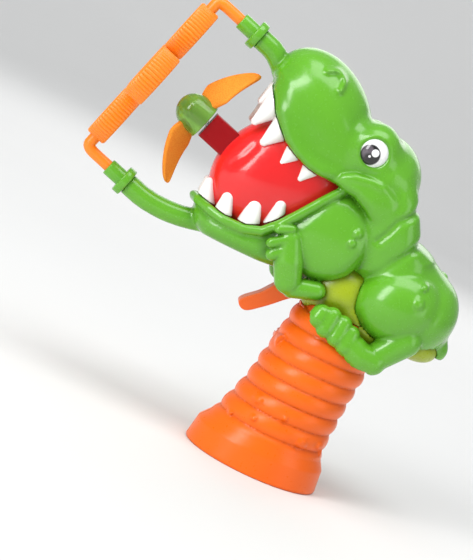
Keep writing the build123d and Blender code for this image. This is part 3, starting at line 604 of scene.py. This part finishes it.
def add_halves(stem, node, fields, low, high, step, outer, slot):
    """Both halves of a hollow moulding.  The left one is sculpted on the right and mirrored."""
    for side, field in zip(("left", "right"), fields):
        mesh = sculpt(f"{stem}_{side}", half(field), low, high, step, folded(outer))
        if side == "left":
            mirror(mesh)
        new_piece(f"{stem}_{side}", mesh, "frame", slot, f"{node}_{side}")


# ---- the animal

WALL = 1.9
TUBE_RADIUS, ARM_BORE = 3.6, 2.1
LINING_GAP, BELLY_GAP, PLUG_GAP, GRIP_GAP = 0.12, 0.05, 0.2, 0.15
UPPER_LIP_RADIUS, LOWER_LIP_RADIUS = 1.7, 1.9

# The mouth's opening in the side view: the upper lip, then the corner, then the lower lip.
MOUTH_EDGE = [
    (-75, 121), (-49.6, 121), (-48.8, 117), (-45.6, 111.4), (-41.8, 107), (-38.3, 103.6),
    (-34.5, 101.4), (-31, 99.9), (-28, 98.9), (-24.5, 98.3), (-21, 98.2), (-16.6, 97.6), (-18.0, 96.2),
    (-21.6, 91.8), (-25.8, 86.2), (-29.9, 80.8), (-34.2, 76.2), (-39, 74.5), (-46, 74.3), (-51.5, 75.3),
    (-57, 76.6), (-75, 77),
]
UPPER_LIP = [
    (-47.2, 5, 122.5), (-46.4, 8.2, 117.6), (-43.6, 11.0, 112.4), (-40.0, 12.8, 108.2),
    (-36.6, 14.0, 105.0), (-32.8, 14.9, 102.6), (-28.6, 15.3, 100.9), (-23.8, 15.3, 100.2),
    (-19.5, 13.5, 100.8),
]
LOWER_LIP = [
    (-56.9, 0, 74.9), (-55.4, 5, 74.6), (-51.2, 9.6, 73.7), (-46.0, 12.4, 72.7), (-39.2, 14.2, 72.8),
    (-33.4, 15.3, 74.7), (-28.6, 15.9, 79.5), (-24.5, 16.2, 85.0), (-20.4, 15.9, 90.7),
    (-16.4, 14.6, 95.8), (-12.5, 12.0, 99.5),
]
SNOUT_SIDE = [
    (-49.0, 124), (-48.4, 117.6), (-46.0, 110.8), (-42.2, 106.0), (-38.6, 102.4), (-34.6, 99.8),
    (-31, 98.1), (-28, 97.1), (-24.5, 96.3), (-19.0, 96.4), (-11, 99), (-9, 108), (-15, 116),
    (-24, 122), (-36, 128),
]
MUSCLE_EDGE = [
    (-18.3, 95.6), (-10.9, 97.6), (-3.8, 95.2), (1.2, 89.4), (1.9, 82.4), (0.6, 75.8), (-1.2, 72.0),
    (-4.2, 68.8), (-8.0, 66.8), (-13, 65.6), (-20, 66.4), (-27, 69.5), (-30.4, 75.0), (-27.4, 79.4),
    (-24.2, 84.4), (-21.2, 90.2),
]
CHEEK_EDGE = [
    (-20.0, 98.4), (-16, 97.3), (-10.9, 96.9), (-5.8, 94.3), (-1.6, 90.6), (1.7, 87.2), (4.5, 91),
    (5.5, 97), (4.4, 102.0), (-0.6, 105.0), (-5.1, 106.5), (-8.6, 105.8), (-13.9, 104.9),
    (-18.0, 102.6),
]
NECK_SIDE = [
    (-6, 112), (3.6, 113.5), (8.6, 106.8), (10.8, 102.9), (12.6, 99.7), (15.2, 94.9), (17, 91.0),
    (23, 88), (22, 78), (10, 72), (0, 74), (-6, 90),
]
CHIN_EDGE = [
    (-57.6, 74.0), (-56.6, 70.4), (-53.6, 66.8), (-49.8, 65.3), (-30, 65.2), (-18, 66), (-8, 80),
    (-14, 96), (-20, 92), (-26, 83), (-31, 76.5), (-38, 73), (-47, 72.6),
]
NECK_FOLDS = [
    ([(16.3, 91.9), (13.4, 87.7), (10.7, 83.0), (6.5, 75.4)], 1.5),
    ([(11.6, 103.6), (9.3, 99.3), (5.9, 95.7), (4.4, 91.4), (2.5, 87.5)], 1.4),
]
NOSTRIL = [(-35.4, 130.4), (-32.2, 132.0), (-28.9, 129.8), (-29.2, 126.3)]
SKIN_WARTS = [(-4.7, 87.0, 1.5), (-5.2, 83.3, 1.4), (22.6, 74.9, 1.9), (22.7, 80.4, 1.3)]  # x, z, width
EYE_DEPTH = 17.2  # from the middle plane to about the rim of the eye's socket


def tube_paths():
    """Centre lines of the two green tubes, from inside the head to their ends."""
    bend = TUBES_END - 8
    upper_end, upper_bend = along_air(TUBES_END, ARM_SPAN), along_air(bend, ARM_SPAN)
    lower_end, lower_bend = along_air(TUBES_END, -ARM_SPAN), along_air(bend, -ARM_SPAN)
    upper = rounded_path([(-42, 0, 117), tuple(upper_bend), tuple(upper_end)])
    lower = rounded_path([(-46, 0, 69), (-60, 0, 66), tuple(lower_bend), tuple(lower_end)])
    return upper, lower


TUBES = tube_paths()


def tubes(p):
    """Both tubes, cut off square at their ends."""
    upper, lower = (overlap(chain(p, path, [TUBE_RADIUS] * len(path)), ring_side(p, TUBES_END), 0.3)
                    for path in TUBES)
    return join(upper, lower)


def ring_side(p, forward):
    """Distance past a plane across the air's line, negative on the head's side."""
    return (p[0] - RINGS_MIDDLE.x) * BLOW.x + (p[2] - RINGS_MIDDLE.z) * BLOW.z - forward


def flattened(p, middle, squeeze):
    """The points with their distance from y = middle multiplied, which flattens a shape there."""
    return p[0], middle + (p[1] - middle) * squeeze, p[2]


def pillow(p, corners, centre, sizes, soft):
    """A side-view outline given an oval thickness, with its edges rolled over."""
    return overlap(outline(p, corners), ellipsoid(p, centre, sizes), soft)


def head(p):
    snout = ellipsoid(p, (-31, 0, 117), (22, 16, 16), -41)
    snout = join(snout, pillow(p, SNOUT_SIDE, (-29, 0, 108), (38, 16.4, 34), 7), 2.5)
    snout = join(snout, chain(p, UPPER_LIP, [UPPER_LIP_RADIUS] * len(UPPER_LIP)), 3)
    skull = ellipsoid(p, (-4.5, 0, 105.5), (14.3, 17.2, 15.0))
    brow = ellipsoid(p, (-10.5, 9.3, 113.7), (8.6, 8.8, 8.9))
    found = join(snout, join(skull, brow, 3.0), 4.5)
    neck = pillow(p, NECK_SIDE, (4, 0, 94), (32, 17.0, 32), 7)
    for fold, width in NECK_FOLDS:
        neck = neck + line_bump(p, fold, width)
    return join(found, neck, 1.5)


def cheek(p):
    """The raised flap from the mouth's corner, round under the eye, to a point on the neck."""
    flap = pillow(p, CHEEK_EDGE, (-7, 0, 99), (26, 18.5, 22), 3.5)
    ridge = line_bump(p, [(-18.5, 101.2), (-13.5, 103.2), (-8.0, 104.2), (-4.0, 103.8)], 1.6)
    return flap - 0.5 * ridge


def jaw(p):
    chin = overlap(outline(p, CHIN_EDGE) - 0.5, ellipsoid(p, (-33, 0, 72), (24.3, 15.3, 40)), 5)
    muscle = pillow(p, MUSCLE_EDGE, (-11, 0, 82), (32, 18.2, 26), 6)
    found = join(chin, muscle, 3.5)
    return join(found, chain(p, LOWER_LIP, [LOWER_LIP_RADIUS] * len(LOWER_LIP)), 0.9)


UNDER_TAIL = [(20, 61.6), (30.7, 60.3), (50, 57.0), (50, 40), (10, 40), (10, 50)]


def trunk(p):
    torso = ellipsoid(p, (15.5, 0, 77.5), (15, 16.8, 14.2))
    hip = ellipsoid(p, (25.4, 0, 69.2), (14.6, 17.8, 16.6), -30)
    tail = bar(p, (30, 0, 66), (37.6, 0, 61.5), 9.5, 4.9)
    found = join(join(torso, hip, 4), tail, 3)
    found = cut(found, outline(p, UNDER_TAIL), 1.0)
    return join(found, ellipsoid(p, (29.9, 0, 84.6), (1.7, 2.4, 1.7)), 0.8)


def leg(p):
    thigh = ellipsoid(p, (18.2, 9.8, 70.4), (14.8, 12.0, 12.8), 28)
    shank = bar(p, (25.0, 13.4, 61.4), (18.2, 14.6, 51.8), 5.8, 4.6)
    return join(thigh, shank, 1.0)


# The foot's and forearm's middle lines, then toes and fingers as bars: two ends and a radius.
SOLE = [(18.0, 15.4, 50.8), (13.0, 15.6, 50.8), (4.0, 15.6, 54.2), (-3.0, 15.0, 57.2)]
TOES = [
    ((-4.0, 16.2, 58.0), (-4.4, 16.6, 56.6), 3.5), ((-0.5, 16.4, 59.0), (-1.2, 17.4, 54.4), 3.1),
    ((3.8, 16.4, 58.0), (3.1, 17.6, 53.2), 3.05), ((7.6, 16.4, 56.2), (6.8, 17.6, 51.8), 2.95),
    ((11.2, 16.2, 53.6), (10.4, 17.2, 50.4), 2.85),
]
FOREARM = [(-23.6, 15.6, 75.5), (-21.2, 15.8, 69.2), (-18.6, 15.0, 63.4)]
FINGERS = [
    ((-24.6, 17.0, 79.4), (-28.6, 17.6, 77.6), 1.5), ((-24.4, 17.2, 75.9), (-29.0, 17.6, 72.6), 1.75),
    ((-24.0, 16.6, 72.0), (-27.2, 17.0, 69.3), 2.15),
]


def with_bars(p, found, bars, soft):
    """A shape with round-ended bars added to it."""
    for start, end, radius in bars:
        found = join(found, bar(p, start, end, radius), soft)
    return found


def foot(p):
    return with_bars(p, chain(p, SOLE, [4.6, 4.9, 4.3, 3.0]), TOES, 0.6)


def arm(p):
    fore = chain(flattened(p, 15, 1.15), FOREARM, [4.1, 4.9, 4.5])
    upper = bar(p, (-16.4, 14.0, 61.8), (-8.6, 13.6, 64.0), 3.5, 3.2)
    return with_bars(p, join(fore, upper, 0.4), FINGERS, 0.5)


def limbs(p):
    return join(join(foot(p), arm(p)), leg(p))


def animal(p):
    """The closed outside of the green shells, before anything is cut from it."""
    found = join(join(head(p), jaw(p), 1.0), trunk(p), 2.2)
    found = join(found, cheek(p), 0.7)
    found = join(found, leg(p), 0.8)
    found = join(found, foot(p), 0.5)
    found = join(found, arm(p), 0.7)
    found = found - 1.3 * line_bump(p, rounded_path(NOSTRIL), 1.05)
    for x, z, width in SKIN_WARTS:
        found = found - 0.95 * wart(p, x, z, width)
    socket = ellipsoid(p, (EYE[0], EYE_DEPTH + 0.6, EYE[1]), (5.45, 2.6, 5.45))
    return cut(found, socket, 0.5)


def opened(p, skin):
    """The skin opened at the mouth, with the tubes on it."""
    return join(cut(skin, outline(p, MOUTH_EDGE), 1.6), tubes(p), 0.8)


def outside_of_animal(p):
    return opened(p, animal(p))


LINING_BACK = -RINGS_AHEAD - 45.0  # where the lining ends, forward of the rings' middle plane


def lining(p, grow=0.0):
    """The red mouth: a bulge that faces the rings, filling the jaws as far as their corner."""
    bulge = ellipsoid(p, (-38.6, 0, 89.6), (20.0, 14.6, 17.2), 72.5)
    cheeks = overlap(outline(p, MOUTH_EDGE) - 1.6, ellipsoid(p, (-30, 0, 92), (24, 13.8, 22), 72.5), 1.0)
    groove = line_bump(p, [(-46.4, 98.0), (-48.0, 94.0), (-50.6, 90.0)], 1.5)
    return join(bulge, cheeks, 2.5) + 0.55 * groove - grow


def belly(p, grow=0.0):
    """Lime belly between the arms and thighs, and the lime underside of the tail."""
    front = ellipsoid(p, (0.5, 0, 66), (14.8, 14.6, 12.8))
    tail = ellipsoid(p, (29.0, 0, 60.9), (10.4, 12.4, 6.0), -10)
    between = ellipsoid(p, (9.5, 0, 60), (16.5, 14.6, 9.5), -20)
    return cut(join(join(front, tail), between, 1.0) - grow, limbs(p) + grow - 0.02)


def sole_side(p, lift_by=0.0):
    """Distance above the slanted top of the grip, negative below it."""
    (x0, z0), (x1, z1) = (-9.5, 57.3), (20.5, 45.3)
    length = math.hypot(x1 - x0, z1 - z0)
    return ((p[0] - x0) * (z0 - z1) + (p[2] - z0) * (x1 - x0)) / length - lift_by


def grip_plug(p, grow=0.0):
    """The oval neck that goes up inside the body."""
    oval = np.sqrt(((p[0] - 3) / 12) ** 2 + (p[1] / 16.2) ** 2)
    return overlap((oval - 1) * 13 - grow, p[2] - 59 - grow)


def slot_for_trigger(p):
    corners = [(-26, 52), (-27, 60), (-20.5, 66.2), (0.5, 66.2), (0.5, 59.6), (-13, 52)]
    return overlap(outline(p, corners), p[1] - 4.0, 0.4)


# Screws that hold each pair of halves together: x and z of their middle lines.
BODY_SCREWS = [(-33.0, 122.0), (4.0, 104.0), (33.0, 68.0), (-30.5, 69.5)]
GRIP_SCREWS = [(-9.8, 43.0), (14.6, 31.0), (-12.2, 18.0), (14.6, 14.0)]
SCREW_SEAT = 5.0  # how far the screw heads' seats are from the middle plane
SHANK_HOLE, BODY_WELL, GRIP_WELL = 1.15, 2.6, 2.55  # radii
PILLAR_RADIUS, SEAT_THICKNESS = 3.7, 1.6


def from_screws(p, places):
    """Distance from the nearest screw's middle line."""
    nearest = np.inf
    for x, z in places:
        nearest = np.minimum(nearest, np.sqrt((p[0] - x) ** 2 + (p[2] - z) ** 2))
    return nearest


def screw_holes(p, away, well_radius):
    """Wells down to the screws' seats, and holes for their shanks."""
    return join(overlap(away - well_radius, SCREW_SEAT - p[1]), away - SHANK_HOLE)


def shells(p):
    """The green shells: hollow, open at the mouth, the belly, the grip and the sockets."""
    skin = animal(p)
    hollow = cut(skin + WALL, foot(p) - 0.5)
    hollow = cut(hollow, outline(p, MOUTH_EDGE) - WALL)
    found = cut(opened(p, skin), hollow, 0.2)
    bores = [bar(p, tuple(along_air(-7, up)), tuple(along_air(-21, up)), ARM_BORE)
             for up in (ARM_SPAN, -ARM_SPAN)]
    plug = overlap(grip_plug(p, PLUG_GAP), sole_side(p, 12))
    for space in (*bores, lining(p, LINING_GAP), belly(p, BELLY_GAP), plug):
        found = cut(found, space, 0.2)
    # The shell ends just above the grip, apart from what stands outside the grip's sides.
    over_grip = overlap(sole_side(p, GRIP_GAP), p[1] - 17.85)
    over_grip = overlap(over_grip, overlap(-12.2 - p[0], p[0] - 23), 0.3)
    return cut(cut(found, over_grip, 0.3), slot_for_trigger(p), 0.3)


def screwed_shells(p):
    """The right shell, with a pillar and a deep well for each screw."""
    away = from_screws(p, BODY_SCREWS)
    pillars = overlap(overlap(away - PILLAR_RADIUS, SCREW_SEAT - SEAT_THICKNESS - p[1]), animal(p))
    return cut(join(shells(p), pillars), screw_holes(p, away, BODY_WELL), 0.3)


def add_shells():
    add_halves("shell", "body", (shells, screwed_shells), (-89, -1.4, 43.5), (44, 25, 138), 0.62,
               outside_of_animal, "green")


LINING_WALL, NOSE_HOLE = 1.6, 4.1


def add_lining():
    def shape(p):
        solid = lining(p)
        found = cut(solid, solid + LINING_WALL, 0.2)
        found = overlap(found, LINING_BACK - ring_side(p, 0))
        lift = (p[0] - NOSE.x) * LIFT.x + (p[2] - NOSE.z) * LIFT.z
        return cut(found, np.sqrt(lift**2 + p[1] ** 2) - NOSE_HOLE, 0.2)

    mesh = sculpt("mouth", folded(shape), (-58, -17, 68), (-12, 17, 112), 0.6, folded(lining))
    new_piece("mouth", mesh, "frame", "red", "mouth_lining")


# Teeth on one side: middle of the base at the lip, tip, radius at the base and at the tip.
UPPER_TEETH = [
    ((-46.4, 3.7, 119.4), (-50.6, 3.9, 111.2), 3.5, 1.1),
    ((-46.4, 8.0, 111.6), (-50.4, 9.0, 104.4), 4.4, 1.4),
    ((-41.4, 10.2, 106.0), (-45.2, 11.8, 99.6), 4.4, 1.4),
    ((-34.6, 12.0, 101.2), (-37.1, 13.2, 96.4), 3.4, 1.0),
    ((-27.4, 12.6, 99.0), (-29.3, 13.6, 94.2), 3.5, 1.0),
]
LOWER_TEETH = [
    ((-53.6, 4.4, 75.6), (-55.0, 4.2, 82.6), 3.7, 1.8),
    ((-46.9, 10.0, 74.6), (-47.7, 10.8, 81.2), 3.3, 2.0),
    ((-37.9, 11.4, 74.6), (-38.6, 12.2, 83.2), 4.2, 2.4),
    ((-30.6, 12.6, 80.4), (-31.2, 13.2, 86.3), 3.0, 1.9),
]


def tooth_row(teeth):
    """Blunt cones that run on into the lip, kept inside it."""
    root_share, root_growth, skin_over_root = 0.4, 1.15, 1.3

    def shape(p):
        found = np.inf
        for base, tip, wide, narrow in teeth:
            length = math.dist(base, tip)
            root = tuple(a - root_share * (b - a) for a, b in zip(base, tip))
            end = tuple(b - narrow / length * (b - a) for a, b in zip(base, tip))
            found = np.minimum(found, bar(p, root, end, root_growth * wide, narrow))
        room = np.minimum(outline(p, MOUTH_EDGE), animal(p) + skin_over_root)
        return overlap(found, room, 0.2)

    return shape


def add_teeth():
    for name, teeth, low, high in (
        ("upper", UPPER_TEETH, (-54, -19, 92), (-22, 19, 124)),
        ("lower", LOWER_TEETH, (-59, -19, 69), (-25, 19, 88)),
    ):
        shape = tooth_row(teeth)
        around = folded(lambda p, s=shape: join(s(p), outside_of_animal(p)))
        mesh = sculpt(f"{name}_tooth_row", folded(shape), low, high, 0.42, around)
        new_piece(f"{name}_tooth_row", mesh, "frame", "white", f"{name}_teeth")


def add_eyes():
    for side, name in ((-1, "left"), (1, "right")):
        def shape(p):
            dome = ellipsoid(p, (EYE[0], side * (EYE_DEPTH - 2.2), EYE[1]), (5.0, 3.3, 5.0))
            return overlap(dome, 14.5 - side * p[1], 0.2)

        x, z = EYE
        near, far = sorted((side * 13.5, side * 19.5))
        low, high = (x - 6, near, z - 6), (x + 6, far, z + 6)
        mesh = sculpt(f"eye_{name}_dome", shape, low, high, 0.35)
        new_piece(f"eye_{name}_dome", mesh, "frame", "eye", f"eye_{name}")


def add_belly():
    def shape(p):
        outer = belly(p)
        found = cut(outer, outer + WALL)
        found = cut(found, grip_plug(p, PLUG_GAP), 0.2)
        found = cut(found, sole_side(p, GRIP_GAP), 0.2)
        return cut(found, slot_for_trigger(p), 0.2)

    mesh = sculpt("belly", folded(shape), (-16, -17, 46), (42, 17, 81), 0.6, folded(outside_of_animal))
    new_piece("belly", mesh, "frame", "lime", "belly_panel")


# ---- the grip

# Height, front, rear and half width of the grip.  From 11.5 to 53.5 the heights are rib crests.
GRIP_LEVELS = np.array([
    (0, -26.0, 22.0, 21.0), (8.0, -24.6, 21.2, 20.4), (11.5, -21.6, 19.2, 19.4),
    (17.5, -19.2, 18.9, 18.8), (23.5, -17.1, 19.2, 18.4), (29.5, -15.5, 19.5, 18.2),
    (35.5, -14.6, 20.0, 18.0), (41.5, -13.3, 20.6, 17.8), (47.5, -12.3, 21.0, 17.7),
    (53.5, -11.4, 21.2, 17.6), (62.0, -10.2, 21.0, 17.4),
])
RIB_PITCH, RIB_TOP, RIB_DEPTH, RIBS_FROM = 6.0, 53.5, 1.15, 11.5
GRIP_WARTS = [  # x, z, width
    (-10.8, 23.8, 1.6), (-17.5, 21.9, 0.9), (-0.3, 22.0, 0.9), (-16.6, 14.9, 0.9), (-9.6, 17.7, 1.0),
    (8.6, 16.3, 1.8), (15.4, 17.2, 1.5),
]
GRIP_WALL, GRIP_FLOOR, PLUG_FROM = 2.6, 2.9, 38
BOSS_RADIUS, BOSS_END = 3.0, 7.8
BAY_HALF_LENGTH, BAY_HALF_WIDTH, BAY_TOP = 8.6, 14.9, 57.2  # the room for the cells
CAP_HALF_STRAIGHT, CAP_RADIUS, CAP_TOP = 8.8, 10.55, 2.65  # the opening for the foot's cap


def grip_outside(p):
    x, y, z = p
    front, rear, half_width = (np.interp(z, GRIP_LEVELS[:, 0], GRIP_LEVELS[:, k]) for k in (1, 2, 3))
    ribs = np.abs(np.cos(math.pi * (z - RIB_TOP) / RIB_PITCH)) ** 0.7
    inset = RIB_DEPTH * (1 - ribs) * np.clip((z - RIBS_FROM) / 2, 0, 1)
    a, b = (rear - front) / 2 - inset, half_width - inset
    oval = np.sqrt(((x - (front + rear) / 2) / a) ** 2 + (y / b) ** 2)
    found = (oval - 1) * 0.5 * (a + b)
    for wart_x, wart_z, width in GRIP_WARTS:
        found = found - 0.8 * wart(p, wart_x, wart_z, width) * np.clip((np.abs(y) - 5) / 3, 0, 1)
    return found


def grip_half(p):
    """The grip: hollow, with bosses for the screws, and open for the cells and the foot's cap."""
    outer = grip_outside(p)
    body = overlap(outer, sole_side(p), 0.5)
    body = overlap(body, -p[2] + 0.02, 0.8)
    body = join(body, overlap(grip_plug(p), -p[2] + PLUG_FROM))
    inside = overlap(overlap(outer + GRIP_WALL, sole_side(p, -4.5)), GRIP_FLOOR - p[2])
    bay = np.sqrt(((p[0] - 3) / BAY_HALF_LENGTH) ** 2 + (p[1] / BAY_HALF_WIDTH) ** 2) * 10 - 10
    bay = overlap(bay, p[2] - BAY_TOP)
    cap = np.sqrt(np.maximum(np.abs(p[0]) - CAP_HALF_STRAIGHT, 0) ** 2 + p[1] ** 2) - CAP_RADIUS
    cap = overlap(cap, p[2] - CAP_TOP)
    bosses = overlap(from_screws(p, GRIP_SCREWS) - BOSS_RADIUS, p[1] - BOSS_END, 0.6)
    found = join(cut(body, join(inside, bay), 0.3), bosses, 0.4)
    return cut(found, cap, 0.2)


def screwed_grip_half(p):
    return cut(grip_half(p), screw_holes(p, from_screws(p, GRIP_SCREWS), GRIP_WELL), 0.2)


def add_grip():
    add_halves("handle", "grip", (grip_half, screwed_grip_half), (-28, -1.4, -1), (24, 22.5, 60.5), 0.55,
               lambda p: overlap(grip_outside(p), sole_side(p)), "orange")


# ---- rings and collars


def lathe(profile, origin, count, wave=None):
    """Turns (radius, height) points about the air's direction.  wave gives each point's extra radius."""
    vertices, faces = [], []
    for k in range(count):
        angle = 2 * math.pi * k / count
        out = LIFT * math.cos(angle) + SIDEWAYS * math.sin(angle)
        for radius, height in profile:
            extra = wave(angle, radius) if wave else 0.0
            vertices.append(origin + out * (radius + extra) + BLOW * height)
    rows = len(profile)
    for k in range(count):
        for i in range(rows):
            a, b = k * rows, ((k + 1) % count) * rows
            j = (i + 1) % rows
            faces.append((a + i, b + i, b + j, a + j))
    return vertices, faces


RING_OUTER, RING_INNER, RING_HALF = 9.5, 7.6, 3.5
FLUTES = 44
RING_ARM_RADIUS = 1.95


def ring_arm(side):
    """One arm of the rings, from the rim of the column's end ring into its green tube."""
    ring, corner = along_air(0, side * (RING_PITCH + 8.6)), along_air(0, side * (ARM_SPAN - 0.1))
    tube = along_air(-20.4, side * ARM_SPAN)
    path = [ring, ring.lerp(corner, 0.3), corner, corner.lerp(tube, 0.35), tube]
    return pipe(rounded_path(path, 3), RING_ARM_RADIUS)


def add_rings():
    vertices, faces = [], []
    profile = [
        (RING_OUTER - 0.5, -RING_HALF), (RING_OUTER, -RING_HALF + 0.5), (RING_OUTER, RING_HALF - 0.5),
        (RING_OUTER - 0.5, RING_HALF), (RING_INNER + 0.4, RING_HALF), (RING_INNER, RING_HALF - 0.4),
        (RING_INNER, -RING_HALF + 0.4), (RING_INNER + 0.4, -RING_HALF),
    ]

    def wave(angle, radius):
        """Flutes on the outside, and shallower ones on the inside."""
        swing = abs(math.sin(angle * FLUTES / 2)) - 0.8
        return 0.42 * swing if radius > (RING_OUTER + RING_INNER) / 2 else -0.4 * swing

    for up, side in ((0, 0), (1, 0), (-1, 0), (0, 1), (0, -1)):
        centre = along_air(0, up * RING_PITCH, side * RING_PITCH)
        points, quads = lathe(profile, centre, FLUTES * 6, wave)
        faces += [tuple(i + len(vertices) for i in quad) for quad in quads]
        vertices += points
    mesh = mesh_from("rings", vertices, faces, sharp=50)
    new_piece("rings", mesh, "frame", "orange_wand", "bubble_wand", "side_ring_near", "side_ring_far")
    for name, side in (("upper", 1), ("lower", -1)):
        new_piece(f"{name}_ring_arm", ring_arm(side), "frame", "orange_wand")


def pipe(path, radius, count=28):
    """A round bar along a path, with slightly rounded ends."""
    path = [Vector(q) for q in path]
    bevel, run = 0.25, 0.2  # what an end loses in radius, and along how much of the path
    stations = [(path[0], path[1] - path[0], radius - bevel)]
    for k, q in enumerate(path):
        ahead = path[min(k + 1, len(path) - 1)] - path[max(k - 1, 0)]
        stations.append((q + ahead.normalized() * (run if k == 0 else 0), ahead, radius))
    last = path[-1] - path[-2]
    stations.append((path[-1] + last.normalized() * run, last, radius - bevel))
    vertices, faces = [], []
    for place, ahead, size in stations:
        up = ahead.normalized().cross(SIDEWAYS).normalized()
        for k in range(count):
            angle = 2 * math.pi * k / count
            vertices.append(place + (SIDEWAYS * math.cos(angle) + up * math.sin(angle)) * size)
    for s in range(len(stations) - 1):
        for k in range(count):
            a, b = s * count + k, s * count + (k + 1) % count
            faces.append((a, b, b + count, a + count))
    faces.append(tuple(range(count))[::-1])
    faces.append(tuple(range(len(vertices) - count, len(vertices))))
    return tidy_normals(mesh_from("bar", vertices, faces))


def tidy_normals(mesh):
    shape = bmesh.new()
    shape.from_mesh(mesh)
    bmesh.ops.recalc_face_normals(shape, faces=shape.faces)
    shape.to_mesh(mesh)
    shape.free()
    return mesh


def add_collars():
    outlines = {
        "collar": [
            (2.95, 0), (4.5, 0), (4.75, 0.1), (4.9, 0.35), (4.9, 2.45), (4.75, 2.7), (4.5, 2.8), (2.95, 2.8),
        ],
        "socket": [
            (2.1, -1.5), (2.9, -1.5), (2.9, 8.1), (2.8, 8.35), (2.6, 8.45), (2.25, 8.45), (2.1, 8.3),
        ],
    }
    for name, way in (("upper", 1), ("lower", -1)):
        origin = along_air(TUBES_END + 0.15, way * ARM_SPAN)
        for kind, profile in outlines.items():
            points, quads = lathe(profile, origin, 96)
            mesh = tidy_normals(mesh_from(f"{name}_ring_{kind}", points, quads, sharp=60))
            nodes = [f"{name}_collar"] if kind == "collar" else []
            new_piece(f"{name}_ring_{kind}", mesh, "frame", "green", *nodes)


# ---- the fan


BLADE_PITCH = math.radians(42)


def add_fan():
    """The hub, a bowl that opens towards the nose, and two foam blades on it."""
    profile = [(1.1, 0), (5.9, 0), (6.25, 0.15), (6.3, 0.5)]
    radius, length, straight, steps = 6.3, 11.2, 4.6, 14
    for k in range(1, steps + 1):
        t = k / steps * math.pi / 2
        profile.append((max(radius * math.cos(t), 0.02), straight + (length - straight) * math.sin(t)))
    profile += [(0.01, 9.0), (1.1, 8.8)]
    points, quads = lathe(profile, NOSE + BLOW * 1.0, 72)
    mesh = tidy_normals(mesh_from("spinner", points, quads, sharp=50))
    new_piece("spinner", mesh, "fan", "hub_green", "fan_hub")
    for way, node in ((1, "fan_blade_a"), (-1, "fan_blade_b")):
        turn = BLADE_PITCH * way
        across = BLOW * math.sin(turn) + SIDEWAYS * math.cos(turn)
        mesh = foam_blade(NOSE + BLOW * 4.8, LIFT * way, across)
        new_piece(f"foam_{node[-1]}", mesh, "fan", "foam", node)


def foam_blade(middle, along, across):
    """A soft leaf that curls back towards the mouth, with rounded edges and a blunt point."""
    rows, columns, half_thick = 36, 16, 0.95
    root, length, curl = 3.0, 20.4, 0.0185
    normal = along.cross(across).normalized()
    top, bottom = [], []
    for i in range(rows + 1):
        s = i / rows
        radius = root + length * s
        wide = 2.6 + 3.5 * math.sin(math.pi * min(1.25 * s, 0.5 + 0.5 * s))
        wide = min(wide, 7.2 * math.sqrt(max(1 - s, 0.004)))
        back = curl * max(radius - 4, 0) ** 2
        for j in range(columns + 1):
            t = 2 * j / columns - 1
            edge = (1 - abs(t)) * columns / 3.2
            tip = (1 - s) * rows / 2.2
            thin = math.sqrt(max(1 - (1 - min(edge, tip, 1.0)) ** 2, 0.06))
            at = middle + along * radius + across * (wide * t) - BLOW * back + normal * (0.7 * t * t * s)
            top.append(at + normal * half_thick * thin)
            bottom.append(at - normal * half_thick * thin)
    width = columns + 1
    shift = (rows + 1) * width
    faces = []
    for i in range(rows):
        for j in range(columns):
            a = i * width + j
            faces.append((a, a + 1, a + 1 + width, a + width))
            faces.append((shift + a, shift + a + width, shift + a + 1 + width, shift + a + 1))
    border = [*range(width)] + [i * width + columns for i in range(1, rows + 1)]
    border += [rows * width + j for j in range(columns - 1, -1, -1)]
    border += [i * width for i in range(rows - 1, 0, -1)]
    for a, b in zip(border, border[1:] + border[:1]):
        faces.append((a, shift + a, shift + b, b))
    return tidy_normals(mesh_from("foam", top + bottom, faces, sharp=70))


# ---- CAD pieces


def dress_cad_nodes():
    """Each CAD node that stays takes the material of its slot."""
    slots = {row["node"]: row["material_slot"] for row in frame["record"]["subparts"]}
    for name, node in frame["nodes"].items():
        node.data.materials.clear()
        node.data.materials.append(MATERIALS[slots[name]])
        node.data.polygons.foreach_set("use_smooth", [True] * len(node.data.polygons))
        node.data.set_sharp_from_angle(angle=math.radians(30))


add_camera()
add_studio()
MATERIALS = make_materials()
dress_cad_nodes()
add_shells()
add_lining()
add_teeth()
add_eyes()
add_belly()
add_grip()
add_rings()
add_collars()
add_fan()
